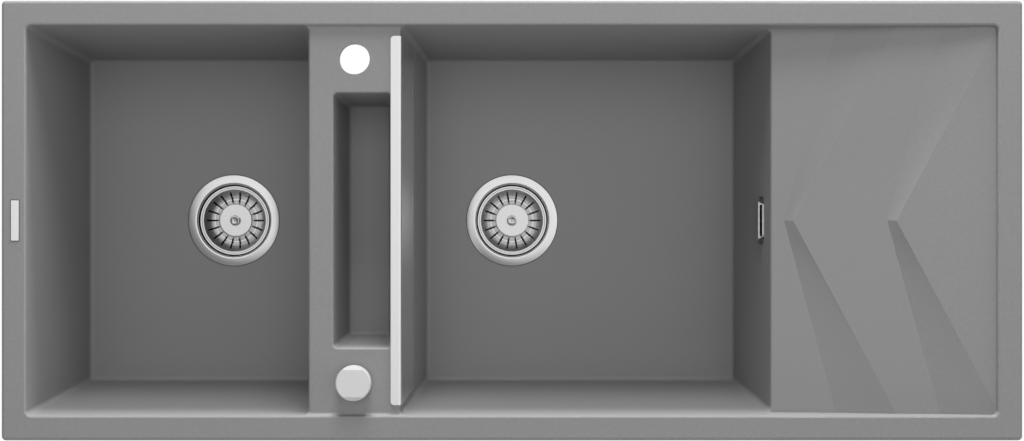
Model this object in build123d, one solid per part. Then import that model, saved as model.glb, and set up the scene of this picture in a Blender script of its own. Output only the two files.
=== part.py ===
from build123d import *

import os
from math import atan, cos, degrees, radians, tan

# Inset composite sink with two bowls, a middle compartment and a drainer, with its waste kit.
# Millimetres. X runs along the front to the right, Y to the back, Z up from the worktop's surface.

# Casting
LENGTH = 1160.0
WIDTH = 500.0
RIM_HEIGHT = 8.0
RIM_WIDTH = 28.0
RIM_CORNER = 5.0
RIM_ROUND = 4.0
RIM_INNER_ROUND = 2.5
WALL = 8.0
FLOOR = 9.0
DRAFT_SLOPE = 0.1
BOWL_DEPTH = 200.0
BOWL_ROUND = 6.0
OUTER_ROUND = 13.0
LEFT_BOWL_LENGTH = 321.0
RIGHT_BOWL_LENGTH = 427.0
DECK_LENGTH = 103.0
DECK_DROP = 6.0
DECK_THICKNESS = 10.0
DECK_ROUND = 3.0
DECK_SETBACK = 0.2
CREST_ROUND = 3.0
BOX_LENGTH = 65.5
BOX_FROM_HOLES = 38.5
BOX_DEPTH = 100.0
BOX_WALL = 7.0
BOX_SLOPE = 0.08
BOX_ROUND = 5.0
BOX_EDGE_ROUND = 2.0
DIVIDER_WALL = 10.0

# Drainer: three shallow levels, each stepping down to the bowl over a ramp that points at the bowl
DRAINER_DROP = 20.0
DRAINER_FALL = 14.0
DRAINER_STEP = 3.0
DRAINER_THICKNESS = 9.0
RAMPS = ((132.0, 193.0, 142.0, 259.0), (15.0, 75.0, 25.0, 143.0))
RAMP_REACH = 222.0

# Steel guard on the dividing wall
GUARD_END_GAP = 12.0
GUARD_LEG = 82.0
GUARD_LEG_SETBACK = 10.0
GUARD_STEEL = 1.5
GUARD_CORNER = 4.0
GUARD_BEND = 3.5
TAPE = 0.5

# Blank plate on the left rim
PLATE_LENGTH = 46.0
PLATE_WIDTH = 9.0
PLATE_THICKNESS = 0.8
PLATE_CORNER = 1.0
PLATE_FROM_EDGE = 16.0

# Basket strainer wastes
LEFT_DRAIN_FROM_DECK = 120.0
RIGHT_DRAIN_FROM_DECK = 128.0
FLANGE_R = 57.0
FLANGE_MOUTH_R = 45.0
FLANGE_STEEL = 1.2
FLANGE_PROUD = 1.2
FLANGE_EDGE_PROUD = 0.1
FLANGE_ROLL = 3.0
DRAIN_SEAT_CLEARANCE = 1.0
CUP_DEPTH = 30.0
CUP_NECK_DEPTH = 9.0
CUP_BOTTOM_R = 38.0
CUP_SLOTS = 6
CUP_SLOT_IN_R = 11.0
CUP_SLOT_OUT_R = 29.0
CUP_SLOT_WIDTH = 9.0
DRAIN_HOLE_CLEARANCE = 0.6
SEAL_THICKNESS = 1.0
GASKET_THICKNESS = 3.0
GASKET_WIDTH = 9.0

BASKET_R = 43.7
BASKET_STEEL = 0.8
BASKET_RIM = 4.7
BASKET_RIM_DROP = 6.0
BASKET_SLOTS = 18
BASKET_SLOT_WIDTH = 2.1
BASKET_SLOT_IN_R = 23.6
BASKET_SLOT_OUT_R = 36.2
BASKET_TROUGH_R = 27.4
BASKET_TROUGH_DROP = 17.5
BASKET_HAT_R = 20.5
BASKET_HAT_FOOT_R = 26.2
BASKET_HAT_DROP = 11.5
BASKET_HAT_ROUND = 3.0
BASKET_KNOB_R = 5.8
BASKET_KNOB_FOOT_R = 6.8
BASKET_KNOB_HEIGHT = 6.5
PLUG_SEAL_R = 32.0
PLUG_SEAL_THICKNESS = 2.6
STEM_R = 10.5
STEM_BORE_R = 8.6
STEM_ROOF = 2.2
STEM_COLLAR_R = 15.5
STEM_COLLAR = 1.8
RUN_CLEARANCE = 0.3

BODY_R = 49.0
BODY_WALL = 3.0
BODY_DEPTH = 54.0
BODY_FLANGE = 4.0
BODY_DISH = 20.0
BODY_SHOULDER = 12.0
POST_R = 9.5
SCREW_R = 4.0
SCREW_LENGTH = 24.0
SCREW_SLOT = 1.6
SCREW_HEAD_R = 7.5
SCREW_HEAD_HEIGHT = 3.0
SLEEVE_R = 6.0
THREAD_CLEARANCE = 0.1

# Pop-up: the knob draws a cable that pushes the right strainer up
LIFT_PIN_R = 3.0
PIN_FOOT_CLEARANCE = 5.0
CABLE_BOX_R = 12.0
CABLE_BOX_HEIGHT = 26.0
HOLE_FROM_WALL = 38.0
DRUM_FLOOR = 6.0
KNOB_R = 20.0
KNOB_HEIGHT = 12.0
KNOB_WALL = 2.0
KNOB_FLAT = 15.3
KNOB_FLAT_DROP = 2.2
KNOB_EDGE = 1.2
KNOB_HUB = 3.0
TAP_HOLE_R = 17.5
BUSH_CLEARANCE = 0.4
BUSH_FLANGE_R = 19.0
BUSH_FLANGE = 2.5
BUSH_LENGTH = 26.0
SPINDLE_R = 4.0
SPINDLE_CLEARANCE = 0.08
WASHER_THICKNESS = 1.5
NUT_ACROSS = 44.0
NUT_HEIGHT = 8.0
DRUM_BOX_R = 24.0
DRUM_BOX_HEIGHT = 24.0
CABLE_R = 2.5
CABLE_STUB = 10.0
CABLE_STUB_WALL = 2.5
CABLE_PUSH = 6.0

# Overflow in the right bowl's right wall
OVERFLOW_Z = -55.0
POCKET_LENGTH = 56.0
POCKET_HEIGHT = 26.0
POCKET_DEPTH = 3.0
OVERFLOW_HOLE_LENGTH = 28.0
OVERFLOW_HOLE_HEIGHT = 14.0
COVER_LENGTH = 44.7
COVER_BACK_LENGTH = 36.0
COVER_HEIGHT = 22.0
COVER_PROUD = 6.0
COVER_CORNER = 3.0
COVER_STEEL = 1.2
COVER_SLOT = 3.3
COVER_SLOT_END = 4.0
OVERFLOW_SCREW_R = 2.0
OVERFLOW_SCREW_HEAD_R = 3.5
OVERFLOW_SCREW_SLOT = 0.8
OVERFLOW_SCREW_REACH = 12.0
OVERFLOW_BOX_LENGTH = 60.0
OVERFLOW_BOX_HEIGHT = 30.0
OVERFLOW_BOX_DEPTH = 24.0
OVERFLOW_BOX_WALL = 3.0
OVERFLOW_BOX_CORNER = 5.0
OVERFLOW_BOSS_R = 4.5
OVERFLOW_GASKET = 2.0
HOSE_PLAY = 0.1
HOSE_R = 12.0
HOSE_WALL = 1.5
HOSE_BEND = 60.0
HOSE_PUSH = 20.0
HOSE_FROM_POT = 3.0
HOSE_FROM_BOX = 8.0
CLIP_WIDTH = 8.0
CLIP_EAR = 5.0
CLIP_STEEL = 1.3
CLIP_SETBACK = 4.0
OVERFLOW_SPIGOT_R = HOSE_R - HOSE_WALL - HOSE_PLAY

# Pipes
PIPE_R = 20.0
PIPE_WALL = 2.0
PIPE_DROP = 41.0
SOCKET_R = 24.0
SOCKET_CLEARANCE = 0.3
SOCKET_LENGTH = 22.0
SOCKET_FROM_AXIS = 55.0
NUT_R = 28.5
NUT_WALL = 3.5
NUT_GRIP = 14.0
NUT_RIBS = 10
TEE_HALF = 34.0
TRAP_R = 31.0
TRAP_WALL = 3.0
TRAP_SHOULDER = 6.0
TRAP_DROP = 59.0
TRAP_HEIGHT = 70.0
TRAP_OUTLET_DROP = 26.0
TRAP_CUP_HEIGHT = 64.0
TRAP_CUP_DISH = 10.0
TRAP_CUP_RISE = 8.0
TRAP_CUP_GAP = 1.0
TRAP_SEAL_THICKNESS = 3.0
DIP_TUBE_CLEARANCE = 14.0
OUTLET_LENGTH = 150.0
OUTLET_BEAD = 2.0
OUTLET_BEAD_FROM_NUT = 16.0
BRANCH_R = 13.0
BRANCH_END = 42.0
BRANCH_NUT_GRIP = 9.0
SPIGOT_R = 10.5
SPIGOT_LENGTH = 38.0
SPIGOT_WALL = 2.5
SPIGOT_FLANGE = 2.5
SPIGOT_COLLAR = 0.6
SPIGOT_COLLAR_LENGTH = 8.0

RIM_TOP = RIM_HEIGHT
RECESS_X = LENGTH / 2 - RIM_WIDTH
RECESS_Y = WIDTH / 2 - RIM_WIDTH
LEFT_BOWL_END = -RECESS_X + LEFT_BOWL_LENGTH
RIGHT_BOWL_START = LEFT_BOWL_END + DECK_LENGTH
RIGHT_BOWL_END = RIGHT_BOWL_START + RIGHT_BOWL_LENGTH
BOWL_FLOOR = RIM_TOP - BOWL_DEPTH
UNDERSIDE = BOWL_FLOOR - FLOOR
PIPE_Z = BOWL_FLOOR - PIPE_DROP
TRAP_TOP = PIPE_Z - TRAP_DROP
DECK_TOP = RIM_TOP - DECK_DROP
DECK_BOTTOM = DECK_TOP - DECK_THICKNESS
BOX_END = RIGHT_BOWL_START - DIVIDER_WALL
BOX_START = BOX_END - BOX_LENGTH
# How far a cutting shape passes the surface it cuts, and how far joined shapes run into each other
OVER = 3.0
LAP = 4.0
EDGE = 0.8
DECK_MIDDLE = (LEFT_BOWL_END + RIGHT_BOWL_START) / 2
LEFT_DRAIN_X = LEFT_BOWL_END - LEFT_DRAIN_FROM_DECK
RIGHT_DRAIN_X = RIGHT_BOWL_START + RIGHT_DRAIN_FROM_DECK
KNOB_X = DECK_MIDDLE
TAP_HOLE_Y = RECESS_Y - HOLE_FROM_WALL
KNOB_Y = -TAP_HOLE_Y
TEE_X = DECK_MIDDLE
BOX_WIDTH = 2 * (TAP_HOLE_Y - BOX_FROM_HOLES)
GUARD_LENGTH = 2 * (RECESS_Y - GUARD_END_GAP)


def block(x0, x1, y_half, z_ref, z_top, z_bottom, slope):
    """Block with flat drafted sides: its size is given at z_ref, and every side leans in by slope below it."""
    flare = (z_top - z_ref) * slope
    inset = (z_ref - z_bottom) * slope

    def wedge(low, high, plane, reach):
        outline = Polyline(
            (low - flare, z_top),
            (low + inset, z_bottom),
            (high - inset, z_bottom),
            (high + flare, z_top),
            close=True,
        )
        return extrude(plane * make_face(outline), amount=reach, both=True)

    return wedge(x0, x1, Plane.XZ, WIDTH) & wedge(-y_half, y_half, Plane.YZ, LENGTH)


def below_top(z_top):
    """Picks the edges of a block that lie below its top face: the upright ones and those of its bottom."""
    return lambda edge: edge.center().Z < z_top - EDGE


def tub(x0, x1, y_half, z_ref, z_top, z_bottom, slope, radius):
    """Drafted block with rounded uprights and a rounded bottom."""
    blank = block(x0, x1, y_half, z_ref, z_top, z_bottom, slope)
    return fillet(blank.edges().filter_by(below_top(z_top)), radius)


def turned(x, y, profile, rounds=()):
    """Round piece about the upright axis through x, y, from the corners (radius, height) of its half section.

    Each round is the number of a corner and the radius that it gets.
    """
    outline = make_face(Polyline(*profile, close=True))
    for number, radius in rounds:
        corner = Vector(*profile[number])
        outline = fillet(outline.vertices().sort_by_distance(corner)[0], radius)
    return Pos(x, y, 0) * revolve(Plane.XZ * outline, Axis.Z)


def ring(x, y, inner, outer, low, high):
    return turned(x, y, [(inner, low), (outer, low), (outer, high), (inner, high)])


def rod(start, direction, radius, length):
    """Cylinder from a start point along a direction."""
    return extrude(Plane(origin=start, z_dir=direction) * Circle(radius), amount=length)


def tube(start, direction, outer, inner, length):
    return extrude(Plane(origin=start, z_dir=direction) * (Circle(outer) - Circle(inner)), amount=length)


# ---- Casting ----

DRAINER_EDGE_X = RIGHT_BOWL_END - DRAINER_DROP * DRAFT_SLOPE
DRAINER_EDGE_Z = RIM_TOP - DRAINER_DROP
DRAINER_RUN = RECESS_X - DRAINER_EDGE_X
DRAINER_TILT = degrees(atan((DRAINER_FALL - len(RAMPS) * DRAINER_STEP) / DRAINER_RUN))


def above_drainer():
    """Space over the drainer: its top surface is three levels joined by two ramps that point at the bowl."""
    tilted = Location((DRAINER_EDGE_X, 0, DRAINER_EDGE_Z), (0, -DRAINER_TILT, 0))
    back = WALL + DRAINER_THICKNESS + BOWL_ROUND
    reach = RAMP_REACH + WALL + BOWL_ROUND
    high = len(RAMPS) * DRAINER_STEP

    def level(tip, end, z):
        """Outline of a level left of a line that runs from its tip at the middle to its two ends."""
        far = tip + (end - tip) * reach / RAMP_REACH
        corners = [(-back, -reach), (far, -reach), (tip, 0), (far, reach), (-back, reach)]
        return (tilted * Pos(0, 0, z) * make_face(Polyline(*corners, close=True))).face()

    deep = WIDTH / 5
    space = tilted * Pos(DRAINER_RUN / 2, 0, high + deep / 2) * Box(DRAINER_RUN + 3 * back, 2 * reach, deep)
    for count, (low_tip, low_end, top_tip, top_end) in enumerate(RAMPS):
        z = high - (count + 1) * DRAINER_STEP
        space += loft([level(low_tip, low_end, z), level(top_tip, top_end, z + DRAINER_STEP)], ruled=True)
    return space


DRAIN_SEAT_R = FLANGE_R + DRAIN_SEAT_CLEARANCE
DRAIN_SEAT = SEAL_THICKNESS + FLANGE_STEEL / 2
DRAIN_HOLE_R = FLANGE_MOUTH_R + FLANGE_STEEL + DRAIN_HOLE_CLEARANCE
OVERFLOW_X = RIGHT_BOWL_END - (RIM_TOP - OVERFLOW_Z) * DRAFT_SLOPE
OVERFLOW = Plane(origin=(OVERFLOW_X, 0, OVERFLOW_Z), x_dir=(0, -1, 0), z_dir=(-1, 0, DRAFT_SLOPE))
WALL_ACROSS = WALL * cos(atan(DRAFT_SLOPE))


def on_overflow(outline, low, high):
    """Prism square to the right bowl's wall, between two distances from its inner face."""
    return extrude(OVERFLOW.offset(low) * outline, amount=high - low)


def casting_outside():
    rim = extrude(RectangleRounded(LENGTH, WIDTH, RIM_CORNER), RIM_HEIGHT)
    rim = fillet(rim.edges().group_by(Axis.Z)[-1], RIM_ROUND)
    y_half = RECESS_Y + WALL
    left, right = (
        tub(start - WALL, end + WALL, y_half, RIM_TOP, RIM_TOP, UNDERSIDE, DRAFT_SLOPE, OUTER_ROUND)
        for start, end in ((-RECESS_X, LEFT_BOWL_END), (RIGHT_BOWL_START, RIGHT_BOWL_END))
    )
    deck = Pos(DECK_MIDDLE, 0, DECK_BOTTOM) * Box(
        DECK_LENGTH, 2 * y_half, -2 * DECK_BOTTOM, align=(Align.CENTER, Align.CENTER, Align.MIN)
    )
    box = tub(
        BOX_START - BOX_WALL,
        BOX_END + BOX_WALL,
        BOX_WIDTH / 2 + BOX_WALL,
        DECK_TOP,
        DECK_TOP,
        DECK_TOP - BOX_DEPTH - BOX_WALL,
        BOX_SLOPE,
        BOX_ROUND + BOX_WALL / 2,
    )
    drainer = block(
        RIGHT_BOWL_END - WALL, RECESS_X + WALL, y_half, RIM_TOP, RIM_TOP, 3 * DRAINER_EDGE_Z, DRAFT_SLOPE
    )
    drainer &= Pos(0, 0, -DRAINER_THICKNESS) * above_drainer()
    return rim + left + right + deck + box + drainer


def casting_hollows():
    top = RIM_TOP + OVER
    left = tub(-RECESS_X, LEFT_BOWL_END, RECESS_Y, RIM_TOP, top, BOWL_FLOOR, DRAFT_SLOPE, BOWL_ROUND)
    right = tub(RIGHT_BOWL_START, RIGHT_BOWL_END, RECESS_Y, RIM_TOP, top, BOWL_FLOOR, DRAFT_SLOPE, BOWL_ROUND)
    lap = 2 * BOWL_ROUND
    deck_half = RECESS_Y - DECK_SETBACK
    deck = block(LEFT_BOWL_END - lap, RIGHT_BOWL_START + lap, deck_half, RIM_TOP, top, DECK_TOP, DRAFT_SLOPE)
    deck = fillet(deck.edges().filter_by(Axis.X).filter_by(below_top(top)), DECK_ROUND)
    box = tub(
        BOX_START,
        BOX_END,
        BOX_WIDTH / 2,
        DECK_TOP,
        DECK_TOP + OVER,
        DECK_TOP - BOX_DEPTH,
        BOX_SLOPE,
        BOX_ROUND,
    )
    drainer = block(RIGHT_BOWL_END - 2 * lap, RECESS_X, RECESS_Y, RIM_TOP, top, 3 * DRAINER_EDGE_Z, DRAFT_SLOPE)
    far_uprights = drainer.edges().filter_by(
        lambda edge: edge.center().X > RECESS_X - 2 * BOWL_ROUND
        and abs(edge.center().Y) > RECESS_Y / 2
        and 3 * DRAINER_EDGE_Z + 1 < edge.center().Z < top - 1
    )
    drainer = fillet(far_uprights, BOWL_ROUND) & above_drainer()
    return left + right + deck + box + drainer


def round_casting(body):
    """Rounds the edges that hands and water meet."""
    rim_inside = body.edges().filter_by(
        lambda edge: abs(edge.center().Z - RIM_TOP) < 0.05
        and abs(edge.center().X) < RECESS_X + 1
        and abs(edge.center().Y) < RECESS_Y + 1
    )
    body = fillet(rim_inside, RIM_INNER_ROUND)
    for x, z in (
        (LEFT_BOWL_END, DECK_TOP),
        (RIGHT_BOWL_START, DECK_TOP),
        (DRAINER_EDGE_X, DRAINER_EDGE_Z),
    ):
        crest = body.edges().filter_by(
            lambda edge: abs(edge.center().X - x) < 1
            and abs(edge.center().Z - z) < 1
            and edge.length > RECESS_Y
        )
        body = fillet(crest, CREST_ROUND)
    box_mouth = body.edges().filter_by(
        lambda edge: abs(edge.center().Z - DECK_TOP) < 0.05
        and BOX_START - 1 < edge.center().X < BOX_END + 1
        and abs(edge.center().Y) < BOX_WIDTH / 2 + 1
    )
    return fillet(box_mouth, BOX_EDGE_ROUND)


def sink_body():
    body = round_casting(casting_outside() - casting_hollows())
    for x in (LEFT_DRAIN_X, RIGHT_DRAIN_X):
        body -= Pos(x, 0, BOWL_FLOOR - DRAIN_SEAT) * Cylinder(
            DRAIN_SEAT_R, FLOOR, align=(Align.CENTER, Align.CENTER, Align.MIN)
        )
        body -= Pos(x, 0, UNDERSIDE) * Cylinder(DRAIN_HOLE_R, 3 * FLOOR)
    for y in (TAP_HOLE_Y, KNOB_Y):
        body -= Pos(KNOB_X, y, DECK_TOP) * Cylinder(TAP_HOLE_R, 3 * DECK_THICKNESS)
    body -= on_overflow(RectangleRounded(POCKET_LENGTH, POCKET_HEIGHT, POCKET_HEIGHT / 4), -POCKET_DEPTH, WALL)
    body -= on_overflow(
        RectangleRounded(OVERFLOW_HOLE_LENGTH, OVERFLOW_HOLE_HEIGHT, OVERFLOW_HOLE_HEIGHT / 3), -2 * WALL, WALL
    )
    return body


# ---- Steel guard on the wall between the compartment and the right bowl ----

GUARD_LOW = DECK_TOP + TAPE
GUARD_TOP = GUARD_LOW + GUARD_STEEL
GUARD_FOOT = DECK_TOP - GUARD_LEG


def bowl_wall_x(z):
    """The right bowl's left wall at a height."""
    return RIGHT_BOWL_START + (RIM_TOP - z) * DRAFT_SLOPE


def steel_guard():
    """Angle that lies on the deck and hangs down the bowl's wall, its ends following the bowl's draft."""
    outer = TAPE + GUARD_STEEL
    foot_x = bowl_wall_x(GUARD_FOOT)
    outline = make_face(
        Polyline(
            (BOX_END, GUARD_LOW),
            (bowl_wall_x(GUARD_LOW) + TAPE, GUARD_LOW),
            (foot_x + TAPE, GUARD_FOOT),
            (foot_x + outer, GUARD_FOOT),
            (bowl_wall_x(GUARD_TOP) + outer, GUARD_TOP),
            (BOX_END, GUARD_TOP),
            close=True,
        )
    )
    for height, radius in ((GUARD_TOP, GUARD_BEND), (GUARD_LOW, GUARD_BEND - GUARD_STEEL)):
        bend = outline.vertices().filter_by(lambda vertex: abs(vertex.Y - height) < 0.1).sort_by(Axis.X)[-1]
        outline = fillet(bend, radius)
    bar = extrude(Plane.XZ * outline, amount=GUARD_LENGTH / 2, both=True)
    half = GUARD_LENGTH / 2
    foot_half = half - GUARD_LEG_SETBACK
    ends = make_face(
        Polyline(
            (-half, GUARD_TOP),
            (-half, GUARD_LOW),
            (-foot_half, GUARD_FOOT),
            (foot_half, GUARD_FOOT),
            (half, GUARD_LOW),
            (half, GUARD_TOP),
            close=True,
        )
    )
    bar &= extrude(Plane.YZ * ends, amount=LENGTH, both=True)
    free_corners = bar.edges().filter_by(Axis.Z).filter_by(lambda edge: edge.center().X < BOX_END + 1)
    return fillet(free_corners, GUARD_CORNER)


def guard_tape():
    """Two bonding strips: one on the deck, one on the bowl's wall."""
    half = GUARD_LENGTH / 2 - 2 * GUARD_LEG_SETBACK
    deck_end = bowl_wall_x(DECK_TOP) - CREST_ROUND - TAPE
    deck_strip = Pos((BOX_END + BOX_EDGE_ROUND + deck_end) / 2, 0, DECK_TOP) * Box(
        deck_end - BOX_END - BOX_EDGE_ROUND, 2 * half, TAPE, align=(Align.CENTER, Align.CENTER, Align.MIN)
    )
    top = DECK_TOP - CREST_ROUND - 2 * TAPE
    foot = GUARD_FOOT + CREST_ROUND
    outline = make_face(
        Polyline(
            (bowl_wall_x(top), top),
            (bowl_wall_x(foot), foot),
            (bowl_wall_x(foot) + TAPE, foot),
            (bowl_wall_x(top) + TAPE, top),
            close=True,
        )
    )
    return Compound([deck_strip.solid(), extrude(Plane.XZ * outline, amount=half, both=True).solid()])


def rim_plate():
    """Blank plate bonded to the left rim."""
    x = -LENGTH / 2 + PLATE_FROM_EDGE
    plate = extrude(RectangleRounded(PLATE_WIDTH, PLATE_LENGTH, PLATE_CORNER), PLATE_THICKNESS)
    plate = chamfer(plate.edges().group_by(Axis.Z)[-1], PLATE_THICKNESS / 3)
    return Pos(x, 0, RIM_TOP) * plate


# ---- Basket strainer wastes ----

CUP_BOTTOM = BOWL_FLOOR - CUP_DEPTH
CUP_UNDERSIDE = CUP_BOTTOM - FLANGE_STEEL
SEAL_LOW = BOWL_FLOOR - DRAIN_SEAT
SEAL_TOP = SEAL_LOW + SEAL_THICKNESS
BODY_TOP = UNDERSIDE - GASKET_THICKNESS
BODY_FOOT = BODY_TOP - BODY_DEPTH


def strainer_cup(x, hole_r):
    """Pressed steel cup: a domed flange rolled into the mouth, and slots round the bottom's centre."""
    mouth = FLANGE_MOUTH_R
    steel = FLANGE_STEEL
    neck = BOWL_FLOOR - CUP_NECK_DEPTH
    crown = BOWL_FLOOR + FLANGE_PROUD
    profile = [
        (mouth, crown),
        (mouth, neck),
        (CUP_BOTTOM_R, CUP_BOTTOM),
        (hole_r, CUP_BOTTOM),
        (hole_r, CUP_UNDERSIDE),
        (CUP_BOTTOM_R + steel / 2, CUP_UNDERSIDE),
        (mouth + steel, neck - steel / 2),
        (mouth + steel, SEAL_TOP),
        (FLANGE_R, SEAL_TOP),
        (FLANGE_R, BOWL_FLOOR + FLANGE_EDGE_PROUD),
    ]
    cup = turned(x, 0, profile, rounds=((0, FLANGE_ROLL),))
    slot = SlotOverall(CUP_SLOT_OUT_R - CUP_SLOT_IN_R, CUP_SLOT_WIDTH)
    middle = (CUP_SLOT_IN_R + CUP_SLOT_OUT_R) / 2
    slots = extrude(Sketch() + PolarLocations(middle, CUP_SLOTS) * slot, 3 * steel)
    return cup - Pos(x, 0, CUP_UNDERSIDE - steel) * slots


def cup_seal(x):
    return ring(x, 0, DRAIN_HOLE_R, FLANGE_R - 0.5, SEAL_LOW, SEAL_TOP)


def floor_gasket(x):
    inner = DRAIN_HOLE_R + 0.5
    return ring(x, 0, inner, inner + GASKET_WIDTH, BODY_TOP, UNDERSIDE)


def waste_body(x, outlet, hole_r):
    """Plastic pot under the bowl: a flange, a dished pot, a centre post and a socket on its outlet side."""
    flange_r = DRAIN_HOLE_R + GASKET_WIDTH + 0.5
    inner = BODY_R - BODY_WALL
    shoulder = BODY_FOOT + BODY_SHOULDER
    pot = turned(
        x,
        0,
        [
            (0, BODY_FOOT),
            (BODY_R - BODY_DISH, BODY_FOOT),
            (BODY_R, shoulder),
            (BODY_R, BODY_TOP - BODY_FLANGE),
            (flange_r, BODY_TOP - BODY_FLANGE),
            (flange_r, BODY_TOP),
            (inner, BODY_TOP),
            (inner, shoulder + BODY_WALL / 2),
            (inner + BODY_WALL / 2 - BODY_DISH, BODY_FOOT + BODY_WALL),
            (0, BODY_FOOT + BODY_WALL),
        ],
    )
    axis = (outlet, 0, 0)
    mouth = SOCKET_FROM_AXIS + SOCKET_LENGTH
    stub_start = inner - LAP
    socket = rod((x + outlet * stub_start, 0, PIPE_Z), axis, SOCKET_R, mouth - stub_start)
    inside = ring(x, 0, 0, inner, BODY_FOOT + BODY_WALL, BODY_TOP)
    pot += socket - inside
    pot -= rod((x + outlet * (stub_start - LAP), 0, PIPE_Z), axis, PIPE_R - PIPE_WALL, mouth)
    pot -= rod((x + outlet * SOCKET_FROM_AXIS, 0, PIPE_Z), axis, PIPE_R + SOCKET_CLEARANCE, mouth)
    pot += ring(x, 0, 0, POST_R, BODY_FOOT + BODY_WALL / 2, CUP_UNDERSIDE)
    return pot - ring(x, 0, 0, hole_r, BODY_FOOT + BODY_WALL, CUP_UNDERSIDE)


def left_waste_body():
    return waste_body(LEFT_DRAIN_X, 1, SCREW_R + THREAD_CLEARANCE)


def right_waste_body():
    """The right pot also takes the overflow hose, and its foot lets the lift pin through."""
    pot = waste_body(RIGHT_DRAIN_X, -1, SLEEVE_R + THREAD_CLEARANCE)
    wall = RIGHT_DRAIN_X + BODY_R - BODY_WALL / 2
    reach = HOSE_END_X + HOSE_PUSH - wall
    pot += rod((wall, 0, PIPE_Z), (1, 0, 0), OVERFLOW_SPIGOT_R, reach)
    pot -= rod((wall - LAP, 0, PIPE_Z), (1, 0, 0), OVERFLOW_SPIGOT_R - PIPE_WALL, reach + 2 * LAP)
    return pot - ring(RIGHT_DRAIN_X, 0, 0, LIFT_PIN_R + RUN_CLEARANCE, BODY_FOOT - 1, BODY_FOOT + 2 * BODY_WALL)


def centre_screw():
    """Screw that draws the left cup and its pot together."""
    head_top = CUP_BOTTOM + SCREW_HEAD_HEIGHT
    screw = turned(
        LEFT_DRAIN_X,
        0,
        [
            (0, CUP_BOTTOM - SCREW_LENGTH),
            (SCREW_R, CUP_BOTTOM - SCREW_LENGTH),
            (SCREW_R, CUP_BOTTOM),
            (SCREW_HEAD_R, CUP_BOTTOM),
            (SCREW_HEAD_R, head_top - EDGE),
            (SCREW_HEAD_R - EDGE, head_top),
            (0, head_top),
        ],
    )
    return screw - Pos(LEFT_DRAIN_X, 0, head_top) * Box(2 * SCREW_HEAD_R, SCREW_SLOT, SCREW_HEAD_HEIGHT)


def centre_sleeve():
    """Hollow screw of the right waste, which guides the lift pin."""
    bore = LIFT_PIN_R + RUN_CLEARANCE
    return turned(
        RIGHT_DRAIN_X,
        0,
        [
            (bore, CUP_BOTTOM - SCREW_LENGTH),
            (SLEEVE_R, CUP_BOTTOM - SCREW_LENGTH),
            (SLEEVE_R, CUP_BOTTOM),
            (SCREW_HEAD_R, CUP_BOTTOM),
            (SCREW_HEAD_R, CUP_BOTTOM + SCREW_HEAD_HEIGHT),
            (bore, CUP_BOTTOM + SCREW_HEAD_HEIGHT),
        ],
    )


HAT_TOP = BOWL_FLOOR - BASKET_HAT_DROP
HAT_UNDERSIDE = HAT_TOP - BASKET_STEEL
STEM_CEILING = HAT_UNDERSIDE - STEM_ROOF
PLUG_LOW = CUP_BOTTOM + RUN_CLEARANCE
PLUG_TOP = PLUG_LOW + PLUG_SEAL_THICKNESS


def basket_cup(x):
    """Pressed basket: double bead on its rim, slotted cone and trough, and a raised hat in the middle."""
    steel = BASKET_STEEL
    rim = BOWL_FLOOR - BASKET_RIM_DROP
    lip = BASKET_R - BASKET_RIM
    bead = BASKET_R - BASKET_RIM / 2
    trough = BOWL_FLOOR - BASKET_TROUGH_DROP
    cup = turned(
        x,
        0,
        [
            (BASKET_R, rim - 2 * steel),
            (BASKET_R, rim - steel / 2),
            (BASKET_R - steel / 2, rim),
            (bead + steel / 2, rim),
            (bead, rim - steel),
            (bead - steel / 2, rim - steel / 2),
            (lip + steel / 2, rim - steel / 2),
            (lip, rim - 2 * steel),
            (BASKET_TROUGH_R, trough),
            (BASKET_HAT_FOOT_R, trough),
            (BASKET_HAT_R, HAT_TOP),
            (0, HAT_TOP),
            (0, HAT_UNDERSIDE),
            (BASKET_HAT_R - steel / 2, HAT_UNDERSIDE),
            (BASKET_HAT_FOOT_R - steel / 2, trough - steel),
            (BASKET_TROUGH_R + steel / 2, trough - steel),
            (lip + steel / 2, rim - 3 * steel),
        ],
        rounds=((10, BASKET_HAT_ROUND), (13, BASKET_HAT_ROUND - steel)),
    )
    reach = BASKET_SLOT_OUT_R - BASKET_SLOT_IN_R
    slot = Pos(0, 0, trough) * Box(reach, BASKET_SLOT_WIDTH, 2 * BASKET_TROUGH_DROP)
    middle = (BASKET_SLOT_OUT_R + BASKET_SLOT_IN_R) / 2
    return cup - Pos(x, 0, 0) * Compound(PolarLocations(middle, BASKET_SLOTS) * slot)


def basket_knob(x):
    """Finger grip on the hat, narrower at its top."""
    top = HAT_TOP + BASKET_KNOB_HEIGHT
    edge = BASKET_STEEL
    return turned(
        x,
        0,
        [
            (0, HAT_TOP),
            (BASKET_KNOB_FOOT_R, HAT_TOP),
            (BASKET_KNOB_FOOT_R, HAT_TOP + edge),
            (BASKET_KNOB_R, HAT_TOP + 3 * edge),
            (BASKET_KNOB_R, top - edge),
            (BASKET_KNOB_R - edge, top),
            (0, top),
        ],
    )


def basket_stem(x):
    """Plastic hub under the hat: it carries the plug seal and drops over the screw's head."""
    return turned(
        x,
        0,
        [
            (STEM_BORE_R, PLUG_LOW),
            (STEM_R, PLUG_LOW),
            (STEM_R, PLUG_TOP),
            (STEM_COLLAR_R, PLUG_TOP),
            (STEM_COLLAR_R, PLUG_TOP + STEM_COLLAR),
            (STEM_R, PLUG_TOP + STEM_COLLAR),
            (STEM_R, HAT_UNDERSIDE),
            (0, HAT_UNDERSIDE),
            (0, STEM_CEILING),
            (STEM_BORE_R, STEM_CEILING),
        ],
    )


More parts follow.
